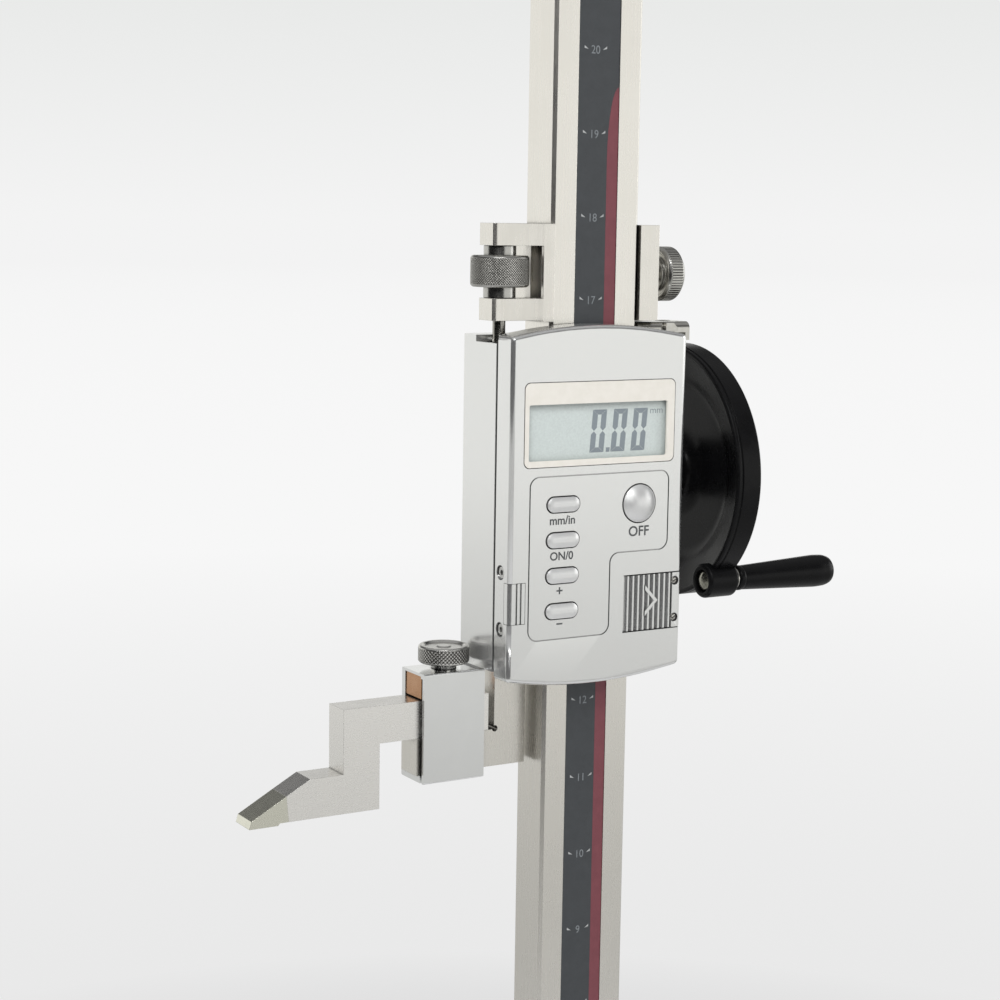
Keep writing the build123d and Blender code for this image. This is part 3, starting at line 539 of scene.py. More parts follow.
@dataclass(frozen=True)
class CrystalCell(Finish):
    """Reflective liquid crystal cell: grey-green backing behind clear glass, with painted shade near its
    frame.
    """

    middle: Point = (-4.5, -17.0, 392.2)  # mm
    tone: str = "#D2DBD8"
    side_tone: str = "#B9C1BF"
    ends: tuple[float, float] = (21.5, 26.5)  # mm from the middle, where painted shade darkens it sideways
    top: tuple[float, float] = (5.5, 9.0)  # mm from the middle, where painted shade darkens it upwards

    def paint(self, tree: Tree) -> Socket:
        """Painted shade darkens the backing over the last millimetres towards both ends and the top.

        Args:
            tree: The node tree.

        Returns:
            The shader socket.
        """
        spot = add_node(tree, "ShaderNodeSeparateXYZ", {0: self.point(tree, self.middle)}).outputs
        side = add_node(tree, "ShaderNodeMath", {0: spot[0]}, operation="ABSOLUTE").outputs[0]
        ends = add_node(tree, "ShaderNodeMapRange", {"Value": side, "From Min": self.ends[0],
                                                     "From Max": self.ends[1], "To Max": 0.6}).outputs[0]
        top = add_node(tree, "ShaderNodeMapRange", {"Value": spot[2], "From Min": self.top[0],
                                                    "From Max": self.top[1], "To Max": 0.7}).outputs[0]
        rim = add_node(tree, "ShaderNodeMath", {0: ends, 1: top}, operation="MAXIMUM").outputs[0]
        # painted shade: the backing darkens towards its frame
        colour = add_node(tree, "ShaderNodeMix", {0: rim, 6: linear(self.tone), 7: linear(self.side_tone)},
                          data_type="RGBA").outputs[2]
        milky = add_node(tree, "ShaderNodeMix", {0: self.grain(tree, (0.6,) * 3), 6: linear("#F4F4F4"),
                                                 7: linear("#FFFFFF")}, data_type="RGBA").outputs[2]
        colour = add_node(tree, "ShaderNodeMix", {0: 1.0, 6: colour, 7: milky}, data_type="RGBA",
                          blend_type="MULTIPLY").outputs[2]
        return add_node(tree, "ShaderNodeBsdfPrincipled",
                        {"Roughness": 0.35, "IOR": 1.5, "Coat Weight": 0.5, "Coat Roughness": 0.03,
                         "Base Color": colour}).outputs[0]


@dataclass(frozen=True)
class Ink(Finish):
    """Printed or filled mark: matt pigment that is a little thinner in places."""

    tone: str = "#55575A"
    thin: str = "#65676A"

    def paint(self, tree: Tree) -> Socket:
        """Ink density varies over half a millimetre.

        Args:
            tree: The node tree.

        Returns:
            The shader socket.
        """
        colour = add_node(tree, "ShaderNodeMix", {0: self.grain(tree, (0.5,) * 3), 6: linear(self.tone),
                                                  7: linear(self.thin)}, data_type="RGBA").outputs[2]
        return add_node(tree, "ShaderNodeBsdfPrincipled", {"Roughness": 0.5, "IOR": 1.5,
                                                           "Base Color": colour}).outputs[0]


# points on the axes of the turned parts, in millimetres
WHEEL_AXIS = (0.0, 13.0, 374.5)
CRANK_AXIS = (0.0, -13.5, 341.0)
NUT_AXIS = (-31.1, -2.3, 0.0)
LOCK_AXIS = (0.0, 0.0, 439.7)
CLAMP_AXIS = (-45.15, 4.9, 0.0)

# hard-chromed and ground tool steel: a warm, pale satin
BEAM_STEEL = GroundSteel("ground_beam_steel")
# block steel: its painted recess shade reaches 4 mm and darkens the space between the carriage lugs and other
# inner corners
BLOCK_STEEL = GroundSteel("ground_block_steel", "#EDEAE4", "#E8E5DE", (0.6, 0.6, 20.0), cloud=9.0, reach=4.0)
SCRIBER_STEEL = GroundSteel("lapped_scriber_steel", "#FDFBF8", "#FBF9F5", (16.0, 0.6, 0.6), cloud=6.0)
BRIGHT_STEEL = GroundSteel("bright_rolled_steel", "#CFCFCD", "#BFBFBD", (0.4, 0.4, 9.0))
CARBIDE = GroundSteel("ground_carbide", "#EAE9DC", "#E4E3D5", (0.4, 6.0, 0.4), cloud=3.0)
COPPER = GroundSteel("milled_copper", "#D9AE8C", "#C4946E", (8.0, 0.4, 0.4), cloud=4.0)
# polished plate: mirrors with a little haze
BOX_CHROME = Plated("polished_chrome", "#F9FAFA", "#F5F6F6", (0.12, 0.18))
NICKEL = Plated("nickel_plate", "#D2D0CB", "#BEBCB6", (0.16, 0.24), 3.0)
# turned metals: rings round their axis
BRASS = Turned("machined_brass", "#D8B876", "#B8934F")
BRONZE = Turned("sintered_bronze", "#B98F62", "#94693F", WHEEL_AXIS, Axis.X)
SHAFT_STEEL = Turned("turned_shaft_steel", centre=WHEEL_AXIS, axis=Axis.X)
CRANK_STEEL = Turned("turned_crank_steel", "#BDBBB0", "#8F8D80", CRANK_AXIS, Axis.X)
ROD_STEEL = Turned("turned_rod_steel", "#B4B2AC", "#8E8C86", NUT_AXIS)
NUT_KNURL = Knurled("nut_knurl", centre=NUT_AXIS, radius=9.0, band=(436.5, 444.7))
LOCK_KNURL = Knurled("lock_knurl", centre=LOCK_AXIS, axis=Axis.X, radius=8.7, band=(28.8, 33.2),
                     pitch=0.9, crossed=False)
CLAMP_KNURL = Knurled("clamp_knurl", "#E6E5E1", plain="#D9D8D4", centre=CLAMP_AXIS, radius=8.05,
                      band=(319.6, 323.9), pitch=1.2)
# silver metallic lacquer on ABS
HOUSING_SILVER = SprayedSilver("silver_lacquer")
KEY_SILVER = SprayedSilver("satin_silver_key", "#E9E9E8", "#E5E6E5", 0.62, (0.36, 0.42))
# moulded plastics, film and rubber
BEZEL_CREAM = Moulded("cream_abs", "#EFEBE2", "#EAE6DC")
SCALE_FILM = Moulded("charcoal_scale_film", "#3E4144", "#3A3D40", (0.42, 0.55), 0.5)
RED_FILM = Moulded("dark_red_film", "#7A4048", "#743C44", (0.42, 0.55), 0.5)
GREEN_BOARD = Moulded("solder_mask", "#1F5B3C", "#184A31", (0.3, 0.4), 0.6, 0.01)
GREY_RUBBER = Moulded("silicone_rubber", "#8B8D8E", "#7F8182", (0.6, 0.75), 0.5, 0.01)
BLACK_GLOSS = Moulded("black_phenolic", "#111112", "#0E0E0F", (0.24, 0.3), 6.0, 0.001, 0.14)
BLACK_SATIN = Moulded("black_satin_plastic", "#1A1A1C", "#151516", (0.34, 0.45), 0.4, 0.008, 0.3)
BLACK_OXIDE = Moulded("black_oxide_steel", "#2A2A2C", "#222223", (0.35, 0.5), 0.3, 0.008)
BASE_ENAMEL = Hammered("hammered_enamel")
LIQUID_CRYSTAL = CrystalCell("liquid_crystal")
# inks
DIGIT_GREY = Ink("crystal_segments", "#868F95", "#8A9398")
KEY_INK = Ink("grey_key_ink", "#4C4E4F", "#545657")
SCALE_INK = Ink("pale_scale_ink", "#777C80", "#868B8E")
WEDGE_INK = Ink("white_scale_ink", "#B9BBBA", "#A4A7A7")
# dark plates of painted shade that stand for the slots of the cover screws
PAINTED_SLOT_SHADE = Ink("painted_screw_slot_shade", "#2B2A27", "#35332F")


# ------------------------------------------------------------------ mesh helpers
def choose(*objects: Obj) -> None:
    """Select just these objects, so that an operator acts on them alone.

    Args:
        objects: The objects; the first one becomes active.
    """
    for other in bpy.context.selected_objects:
        other.select_set(False)
    for obj in objects:
        obj.select_set(True)
    if objects:
        bpy.context.view_layer.objects.active = objects[0]


@contextmanager
def editing(obj: Obj, kind: str = "VERT", wanted: Callable[[Any], bool] | None = None) -> Iterator[None]:
    """Open a piece in edit mode, with all of it selected or only what is wanted.

    Args:
        obj: The piece.
        kind: What is selected, VERT or EDGE.
        wanted: Says of a vertex or an edge whether it is selected; without it, all are.

    Yields:
        Nothing; operators act on the piece until the block ends.
    """
    choose(obj)
    bpy.ops.object.mode_set(mode="EDIT")
    bpy.ops.mesh.select_mode(type=kind)
    bpy.ops.mesh.select_all(action="DESELECT" if wanted else "SELECT")
    if wanted:
        bpy.ops.object.mode_set(mode="OBJECT")
        for element in (obj.data.edges if kind == "EDGE" else obj.data.vertices):
            element.select = wanted(element)
        bpy.ops.object.mode_set(mode="EDIT")
    yield
    bpy.ops.object.mode_set(mode="OBJECT")


def smooth(obj: Obj, angle: float = CREASE) -> Obj:
    """Merge doubles, turn faces outwards, and smooth gentle edges while flat faces stay flat.

    Args:
        obj: The piece.
        angle: Edges that turn less than this are smooth, in degrees.

    Returns:
        The piece.
    """
    with editing(obj):
        bpy.ops.mesh.remove_doubles(threshold=WELD)
        bpy.ops.mesh.dissolve_degenerate(threshold=SPECK)
        bpy.ops.mesh.dissolve_limited(angle_limit=math.radians(FLAT))
        bpy.ops.mesh.normals_make_consistent(inside=False)
    bpy.ops.object.shade_smooth_by_angle(angle=math.radians(angle))
    weighted = obj.modifiers.new("flat_faces_first", "WEIGHTED_NORMAL")
    weighted.weight = 100
    weighted.keep_sharp = True
    bpy.ops.object.modifier_apply(modifier=weighted.name)
    return obj


def dress(obj: Obj, body: Body, finish: Finish, slot: Slot, *replaced: str) -> Obj:
    """Give a new piece its finish, its body and the solids it stands for.

    Args:
        obj: The piece, already in place.
        body: Body that carries it.
        finish: Its surface, unless it has one already.
        slot: Material slot of the record; not used.
        replaced: Solids that it stands for.

    Returns:
        The piece.
    """
    if not obj.data.materials:
        obj.data.materials.append(finish.material())
    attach(obj, body.value)
    if replaced:
        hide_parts(*replaced)
    log.info("%s rides on %s", obj.name, body.value)
    return obj


def paint_nodes(finish: Finish, *nodes: str) -> None:
    """Give a finish to solids that are shown as they are.

    Args:
        finish: Their surface.
        nodes: Names of the solids.
    """
    for node in nodes:
        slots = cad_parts[node].material_slots
        for each in slots:
            each.material = finish.material()
        if not slots:
            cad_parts[node].data.materials.append(finish.material())


def copied(node: str, name: str) -> Obj:
    """Copy a solid as one connected mesh without a finish.

    Args:
        node: Name of the solid.
        name: Name of the copy.

    Returns:
        The copy.
    """
    obj = bpy.data.objects.new(name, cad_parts[node].data.copy())
    obj.data.materials.clear()
    bpy.context.scene.collection.objects.link(obj)
    with editing(obj):
        bpy.ops.mesh.remove_doubles(threshold=WELD)
    return obj


def softened(node: str, name: str) -> Obj:
    """Copy a solid so that its curved faces are smooth and its flat faces stay flat."""
    return smooth(copied(node, name))


def cut(obj: Obj, *cutters: Obj) -> Obj:
    """Cut closed shapes out of a closed piece.

    Args:
        obj: The piece.
        cutters: The shapes, which are used up.

    Returns:
        The piece.
    """
    for cutter in cutters:
        opening = obj.modifiers.new("cut", "BOOLEAN")
        opening.operation = "DIFFERENCE"
        opening.solver = "EXACT"
        opening.object = cutter
        choose(obj)
        bpy.ops.object.modifier_apply(modifier=opening.name)
        bpy.data.objects.remove(cutter)
    return obj


def bar(x: Limits, y: Limits, z: Limits) -> Obj:
    """Straight-sided cutter.

    Args:
        x: Its lowest and highest X, in millimetres.
        y: Its lowest and highest Y.
        z: Its lowest and highest Z.

    Returns:
        The closed shape.
    """
    choose()
    bpy.ops.mesh.primitive_cube_add(size=MM)
    obj = bpy.context.view_layer.objects.active
    size = [high - low for low, high in (x, y, z)]
    middle = Vector([sum(limits) / 2 for limits in (x, y, z)]) * MM
    obj.data.transform(Matrix.Translation(middle) @ Matrix.Diagonal((*size, 1.0)))
    return obj


def stretch(obj: Obj, start: float, end: float, new_end: float) -> Obj:
    """Stretch the part of a piece past a place on X, so that its end comes to a new place.

    Args:
        obj: The piece.
        start: Where the stretched part starts, in millimetres.
        end: Where it ends.
        new_end: Where it ends when it is stretched.

    Returns:
        The piece.
    """
    factor = (new_end - start) / (end - start)
    with editing(obj, "VERT", lambda vertex: vertex.co.x > start * MM):
        bpy.ops.transform.resize(value=(factor, 1, 1), center_override=(start * MM, 0, 0))
    return obj


def extruded(obj: Obj, way: Point) -> Obj:
    """Give a flat face a thickness along a way in millimetres."""
    with editing(obj):
        bpy.ops.mesh.extrude_region_move(TRANSFORM_OT_translate={"value": tuple(part * MM for part in way)})
    return obj


def join(pieces: Sequence[Obj], name: str) -> Obj:
    """Join meshes into one piece.

    Args:
        pieces: The meshes.
        name: Name of the piece.

    Returns:
        The piece.
    """
    choose(*pieces)
    if len(pieces) > 1:
        bpy.ops.object.join()
    joined = bpy.context.view_layer.objects.active
    joined.name = name
    joined.data.name = name
    return joined


def polygon(outline: Outline, name: str, filled: bool) -> Obj:
    """Closed outline in the (X, Z) plane.

    Args:
        outline: Its corners, in millimetres.
        name: Name of the piece.
        filled: Whether it is a face or a loop of edges.

    Returns:
        The flat piece.
    """
    choose()
    bpy.ops.mesh.primitive_circle_add(vertices=len(outline), radius=1.0,
                                      fill_type="NGON" if filled else "NOTHING")
    obj = bpy.context.view_layer.objects.active
    obj.name = name
    for vertex, (x, z) in zip(obj.data.vertices, outline):
        vertex.co = (x * MM, 0.0, z * MM)
    obj.data.update()
    return obj


def eased(outline: Outline, radius: float = 0.25, steps: int = 3) -> list[tuple[float, float]]:
    """Round every corner of a closed outline off the axis, by at most two fifths of its shorter side.

    Args:
        outline: Corners as (radius, distance along the axis), in millimetres.
        radius: How far the rounding starts from a corner, at most.
        steps: Number of edges that make one rounding.

    Returns:
        The outline with its corners eased.
    """
    result = []
    for index, corner in enumerate(outline):
        here = Vector(corner)
        before, after = Vector(outline[index - 1]), Vector(outline[(index + 1) % len(outline)])
        if corner[0] < 0.001:
            result.append(corner)
            continue
        reach = min(radius, 0.4 * (before - here).length, 0.4 * (after - here).length)
        start = here + (before - here).normalized() * reach
        end = here + (after - here).normalized() * reach
        for step in range(steps + 1):
            part = step / steps
            spot = start * (1 - part) ** 2 + here * 2 * part * (1 - part) + end * part ** 2
            result.append((spot.x, spot.y))
    return result


def lathe(outline: Outline, centre: Point, axis: Axis, name: str, steps: int = 96) -> Obj:
    """Spin a closed outline of (radius, distance along the axis) pairs about an axis.

    Args:
        outline: The points in millimetres.
        centre: A point on the axis, in millimetres.
        axis: Direction of the axis.
        name: Name of the piece.
        steps: Number of steps round the axis.

    Returns:
        The closed turned piece.
    """
    obj = polygon(outline, name, filled=False)
    with editing(obj):
        bpy.ops.mesh.spin(steps=steps, angle=2 * math.pi, center=(0, 0, 0), axis=(0, 0, 1))
    turn = {Axis.X: Matrix.Rotation(math.pi / 2, 4, "Y"), Axis.Y: Matrix.Rotation(-math.pi / 2, 4, "X"),
            Axis.Z: Matrix.Identity(4)}[axis]
    obj.data.transform(Matrix.Translation(Vector(centre) * MM) @ turn)
    return smooth(obj, 30.0)


def plate(outline: Outline, y: float, name: str) -> Obj:
    """Flat polygon that faces the front.

    Args:
        outline: Its corners as (X, Z), in millimetres.
        y: Its place along Y, in millimetres.
        name: Name of the piece.

    Returns:
        The face.
    """
    obj = polygon(outline, name, filled=True)
    if obj.data.polygons[0].normal.y > 0:
        obj.data.flip_normals()
    obj.data.transform(Matrix.Translation((0, y * MM, 0)))
    return obj


def block(outline: Outline, back: float, front: float, name: str) -> Obj:
    """Straight-sided block with an outline seen from the front, between two places along Y in millimetres."""
    return extruded(plate(outline, back, name), (0, front - back, 0))


def words(text: str, height: float, centre: Point, name: str, width: float = 1.0,
          weight: float = 0.0) -> Obj:
    """Lettering that faces the front, as a thin flat mesh.

    Args:
        text: The letters.
        height: Height of a capital, in millimetres.
        centre: Middle of the word, in millimetres.
        name: Name of the piece.
        width: Width factor.
        weight: What is added round each stroke, in millimetres.

    Returns:
        The mesh.
    """
    choose()
    bpy.ops.object.text_add()
    obj = bpy.context.view_layer.objects.active
    obj.data.body = text
    obj.data.align_x = "CENTER"
    obj.data.size = height * MM / CAPITAL
    obj.data.offset = weight * MM
    bpy.ops.object.convert(target="MESH")
    obj = bpy.context.view_layer.objects.active
    obj.name = name
    stand = Matrix.Rotation(math.pi / 2, 4, "X")
    shift = Matrix.Translation((Vector(centre) - Vector((0, 0, height / 2))) * MM)
    obj.data.transform(shift @ stand @ Matrix.Diagonal((width, 1, 1, 1)))
    obj.matrix_world = Matrix.Identity(4)
    return obj


# ------------------------------------------------------------------ sub-assemblies
@dataclass
class Column:
    """Base, beam, rack and scale."""

    scale_face: float = -7.8
    number_height: float = 2.5
    number_x: float = -1.4
    wedge: tuple[float, float] = (2.6, 1.5)  # start and length beside a number
    wedge_tip: Limits = (0.3, 1.1)  # its tip, over the line of the number
    ink: float = 0.03  # how far marks stand before the film
    stripe: tuple[float, float] = (3.5, 7.5)
    stripe_z: tuple[float, float] = (36.2, 497.0)
    stripe_taper: float = 22.0
    inches: tuple[int, int] = (2, 24)

    def numbers(self) -> None:
        """Plain inch numbers with a small wedge on each side."""
        figures, wedges = [], []
        y = self.scale_face - self.ink
        for number in range(self.inches[0], self.inches[1] + 1):
            z = number * INCH
            figures.append(words(str(number), self.number_height, (self.number_x, y, z), f"number_{number}",
                                 width=0.95))
            for side in (-1, 1):
                root = self.number_x + side * self.wedge[0]
                tip = root + side * self.wedge[1]
                low, high = (z + part for part in self.wedge_tip)
                wedges.append(plate([(root, z), (tip, high), (tip, low)], y, f"wedge_{number}"))
        dress(join(figures, "scale_numbers"), Body.COLUMN, SCALE_INK, Slot.SCALE)
        dress(join(wedges, "scale_wedges"), Body.COLUMN, WEDGE_INK, Slot.SCALE)

    def stripe_film(self) -> None:
        """Dark red stripe that ends in a curved taper."""
        left, right = self.stripe
        foot, top = self.stripe_z
        curve = [(left + (right - left) * (1 - math.cos(angle)),
                  top - self.stripe_taper * (1 - math.sin(angle))) for angle in angles(math.pi / 2, 8)]
        outline = [(right, foot), (left, foot)] + curve
        stripe = plate(outline, self.scale_face - self.ink / 2, "scale_stripe")
        dress(stripe, Body.COLUMN, RED_FILM, Slot.SCALE)

    def build(self) -> None:
        """Dress the solids and add the marks."""
        paint_nodes(BEAM_STEEL, "beam")
        paint_nodes(SCALE_FILM, "scale_strip")
        paint_nodes(BRIGHT_STEEL, "rack", "rack_screws")
        paint_nodes(BLACK_OXIDE, "column_bolts", "top_cap_screws")
        dress(softened("base", "base_casting"), Body.COLUMN, BASE_ENAMEL, Slot.CAST_BASE, "base")
        dress(softened("top_cap", "beam_cap"), Body.COLUMN, BLACK_SATIN, Slot.BLACK_PLASTIC, "top_cap")
        self.numbers()
        self.stripe_film()


class Stroke(Enum):
    """Strokes of a seven-segment figure: ends in units of its width and height."""

    TOP = ((0, 1), (1, 1))
    UPPER_RIGHT = ((1, 1), (1, 0.5))
    LOWER_RIGHT = ((1, 0.5), (1, 0))
    FOOT = ((0, 0), (1, 0))
    LOWER_LEFT = ((0, 0.5), (0, 0))
    UPPER_LEFT = ((0, 1), (0, 0.5))


@dataclass
class Display:
    """Bezel, liquid crystal and its figures."""

    face: float = -17.17
    digit_size: tuple[float, float] = (5.2, 13.25)
    digit_foot: float = 385.3
    digit_lefts: tuple[float, ...] = (-6.77, 1.0, 8.5)
    thick: tuple[float, float] = (1.95, 1.55)  # upright and level strokes
    gap: float = 0.04
    slant: float = 0.085
    point_size: tuple[float, float] = (1.4, 1.4)
    point_before: float = 1.1  # from the left of the second figure to the middle of the point
    point_lean: float = 0.1
    unit_place: tuple[float, float] = (18.0, 397.8)
    unit_height: float = 2.1
    bezel_gap: float = 0.15

    def stroke(self, left: float, stroke: Stroke) -> Obj:
        """One stroke of a figure: mitred where it meets a corner, pointed at half height.

        Args:
            left: Left edge of the figure, in millimetres.
            stroke: Which stroke it is.

        Returns:
            The stroke as a flat face.
        """
        wide, tall = self.digit_size[0] - self.thick[0], self.digit_size[1] - self.thick[1]
        level = stroke.value[0][1] == stroke.value[1][1]
        half, other = (part / 2 for part in (self.thick[::-1] if level else self.thick))
        start, end = (Vector((x * wide, z * tall)) for x, z in stroke.value)
        along = (end - start).normalized()
        outward = Vector((-along.y, along.x)) * half
        if outward.dot((start + end) / 2 - Vector((wide, tall)) / 2) < 0:
            outward = -outward
        corners = []
        tips = ((start, along, stroke.value[0], 1), (end, -along, stroke.value[1], -1))
        for point, way, (_, z), side in tips:
            point = point + way * self.gap
            pointed = z == 0.5
            corners += [point - side * outward + way * (half if pointed else side * other)]
            corners += [point] if pointed else []
            corners += [point + side * outward + way * (half if pointed else -side * other)]
        shift = Vector((left + self.thick[0] / 2, self.digit_foot + self.thick[1] / 2))
        outline = [(shift.x + corner.x + corner.y * self.slant, shift.y + corner.y) for corner in corners]
        return plate(outline, self.face, "stroke")

    def figures(self) -> None:
        """The reading 0.00, with its unit."""
        pieces = [self.stroke(left, stroke) for left in self.digit_lefts for stroke in Stroke]
        half, height = self.point_size[0] / 2, self.point_size[1]
        x, z, lean = self.digit_lefts[1] - self.point_before, self.digit_foot, self.point_lean
        point = [(x - half, z), (x + half, z), (x + half + lean, z + height), (x - half + lean, z + height)]
        pieces.append(plate(point, self.face, "point"))
        unit_x, unit_z = self.unit_place
        pieces.append(words("mm", self.unit_height, (unit_x, self.face, unit_z), "unit", width=1.1))
        dress(join(pieces, "display_figures"), Body.SLIDER, DIGIT_GREY, Slot.DISPLAY)

    def build(self) -> None:
        """Dress the bezel and the cell, and add the figures."""
        bezel = softened("display_bezel", "bezel")
        low, high = (Vector(corner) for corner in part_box("display_bezel"))
        middle, size = (low + high) / 2, high - low
        shrink = [1 - 2 * self.bezel_gap * MM / part for part in (size.x, size.z)]
        bezel.data.transform(Matrix.Translation(middle) @ Matrix.Diagonal((shrink[0], 1, shrink[1], 1))
                             @ Matrix.Translation(-middle))
        dress(bezel, Body.SLIDER, BEZEL_CREAM, Slot.CREAM, "display_bezel")
        paint_nodes(LIQUID_CRYSTAL, "lcd_panel")
        self.figures()


@dataclass
class Head:
    """Front housing with its keys, covers and marks, and the rear cover."""

    face: float = -19.0
    parting: float = -9.7
    left: float = -36.1
    stretch_start: float = 24.0
    solid_right: float = 26.9
    right: float = 28.1
    wall: float = 2.0
    edge_radius: float = 1.5
    groove: float = 0.9  # width and depth of the shadow line along the parting
    groove_z: Limits = (300.0, 440.0)  # past both ends of the shells
    key_seat: float = -16.3
    key_gap: float = 0.4
    pill: tuple[float, float] = (12.4, 5.4)
    pill_x: float = -17.1
    pill_crown: float = 4.2  # radius across a pill key
    pill_top: float = 1.1  # how far a pill key stands before the face
    off_centre: tuple[float, float] = (11.0, 368.8)
    off_radius: float = 6.35
    off_rim: float = 0.3  # how far the rim of the round key stands before the face
    off_rise: float = 2.5
    pill_keys: tuple[tuple[str, Body, float], ...] = (
        ("button_units", Body.UNITS_KEY, 370.0), ("button_zero", Body.ZERO_KEY, 358.95),
        ("button_add", Body.ADD_KEY, 347.9), ("button_subtract", Body.SUBTRACT_KEY, 336.85))
    marks: tuple[tuple[str, float, float, float], ...] = (
        ("mm/in", -17.3, 365.2, 2.6), ("ON/0", -17.4, 354.1, 2.5), ("+", -17.9, 343.2, 3.0),
        ("−", -17.7, 332.8, 3.0), ("OFF", 11.1, 360.1, 3.1))
    lid_x: float = 6.25
    lid_z: tuple[float, float] = (328.2, 345.8)
    lid_inner: tuple[float, float] = (-17.0, -11.6)
    chevron: Outline = ((14.1, 332.6), (18.9, 337.4), (14.1, 342.4), (14.1, 340.9), (17.5, 337.4),
                        (14.1, 334.1))
    chevron_sink: float = -0.15  # it stands a little before the face
    rib_start: float = 6.6
    rib_pitch: float = 1.98
    rib_count: int = 9
    rib_depth: float = 0.75
    rib_ramp: float = 0.15
    screw_x: float = 25.5
    screw_z: tuple[float, float] = (331.3, 343.2)
    screw_radius: float = 1.15
    screw_sink: float = 0.15
    screw_length: float = 2.1
    well_gap: float = 0.3
    well_depth: float = 0.9
    slot_half: tuple[Limits, Limits] = ((0.75, 0.4), (-0.09, 0.17))  # from its middle to an end and a side

    def shells(self) -> None:
        """Front and rear shell in their full width, with a shadow line where they meet."""
        depth = (self.parting - self.groove, self.parting + 0.1)
        sides = ((self.left - 1, self.left + self.groove), (self.right - self.groove, self.right + 1))
        front, rear = (stretch(copied(node, name), self.stretch_start, self.solid_right, self.right)
                       for node, name in (("front_housing", "front_shell"), ("rear_cover", "rear_shell")))
        front = cut(front, *(bar(side, depth, self.groove_z) for side in sides))
        dress(smooth(front), Body.SLIDER, HOUSING_SILVER, Slot.SILVER_PAINT, "front_housing")
        dress(smooth(rear), Body.SLIDER, HOUSING_SILVER, Slot.SILVER_PAINT, "rear_cover")
        dress(softened("port_cover", "port_lid"), Body.PORT_DOOR, HOUSING_SILVER, Slot.SILVER_PAINT,
              "port_cover")

    def pill_cap(self, name: str, z: float) -> Obj:
        """Pill cap: a slot outline, extruded and then crowned by insets.

        Args:
            name: Name of the piece.
            z: Height of its middle, in millimetres.

        Returns:
            The closed cap.
        """
        radius = self.pill[1] / 2 - self.key_gap
        half = (self.pill[0] - self.pill[1]) / 2
        ends = [(self.pill_x + side * (half + radius * math.sin(turn)), z + side * radius * math.cos(turn))
                for side in (1, -1) for turn in angles(math.pi, 12)]
        rise = self.pill_crown - math.sqrt(self.pill_crown ** 2 - radius ** 2)
        obj = block(ends, self.key_seat, self.face - self.pill_top + rise, name)
        bpy.ops.object.mode_set(mode="EDIT")
        rings = [radius * (1 - math.cos(turn)) for turn in angles(math.pi / 2, 8)[:-1]]
        for inner, outer in zip(rings[1:], rings):
            climb = (math.sqrt(self.pill_crown ** 2 - (radius - inner) ** 2)
                     - math.sqrt(self.pill_crown ** 2 - (radius - outer) ** 2))
            bpy.ops.mesh.inset(thickness=(inner - outer) * MM, depth=climb * MM)
        bpy.ops.object.mode_set(mode="OBJECT")
        return smooth(obj, 40.0)

    def off_cap(self) -> Obj:
        """Round key with a spherical dome."""
        radius = self.off_radius - self.key_gap
        sphere = (radius ** 2 + self.off_rise ** 2) / (2 * self.off_rise)
        top = self.face - self.off_rim - self.off_rise
        dome = [(sphere * math.sin(turn), top + sphere * (1 - math.cos(turn)))
                for turn in angles(math.asin(radius / sphere), 10)]
        outline = dome + [(radius, self.key_seat), (0, self.key_seat)]
        x, z = self.off_centre
        return lathe(outline, (x, 0, z), Axis.Y, "button_off_cap", 64)

    def labels(self) -> None:
        """Plain marks under the keys."""
        pieces = [words(text, size, (x, self.face - 0.02, z), f"mark_{index}", weight=0.08)
                  for index, (text, x, z, size) in enumerate(self.marks)]
        dress(join(pieces, "key_marks"), Body.SLIDER, KEY_INK, Slot.BLACK_STEEL)

    def lid(self) -> None:
        """Battery cover: finger ribs in front, wrapped round the right edge, with a raised chevron."""
        low = self.face + self.rib_depth
        outline = [(self.lid_x, self.lid_inner[0]), (self.lid_x, low)]
        for index in range(self.rib_count):
            x = self.rib_start + index * self.rib_pitch
            outline += [(x + self.rib_pitch * step / 6, low - self.rib_depth * (1 - (step / 3 - 1) ** 2))
                        for step in range(7)]
        end = self.rib_start + self.rib_count * self.rib_pitch
        centre = (self.right - self.edge_radius, self.face + self.edge_radius)
        outline += [(end + self.rib_ramp, self.face)]
        outline += [(centre[0] + self.edge_radius * math.sin(turn),
                     centre[1] - self.edge_radius * math.cos(turn)) for turn in angles(math.pi / 2, 6)]
        outline += [(self.right, self.lid_inner[1]), (self.right - self.wall, self.lid_inner[1]),
                    (self.right - self.wall, self.lid_inner[0])]
        lid = polygon(outline, "battery_lid", filled=True)
        foot = Matrix.Translation((0, 0, self.lid_z[0] * MM))
        lid.data.transform(foot @ Matrix.Rotation(-math.pi / 2, 4, "X"))
        lid = extruded(lid, (0, 0, self.lid_z[1] - self.lid_z[0]))
        smooth(lid)
        radius, bottom = self.screw_radius + self.well_gap, self.face + self.well_depth
        well = [(0, self.face - 1), (radius, self.face - 1), (radius, bottom), (0, bottom)]
        lid = smooth(cut(lid, *[lathe(well, (self.screw_x, 0, z), Axis.Y, "well", 40) for z in self.screw_z]))
        mark = block(self.chevron, low, self.face + self.chevron_sink, "chevron")
        dress(join([lid, smooth(mark)], "battery_lid"), Body.BATTERY_DOOR, HOUSING_SILVER, Slot.SILVER_PAINT,
              "battery_cover")

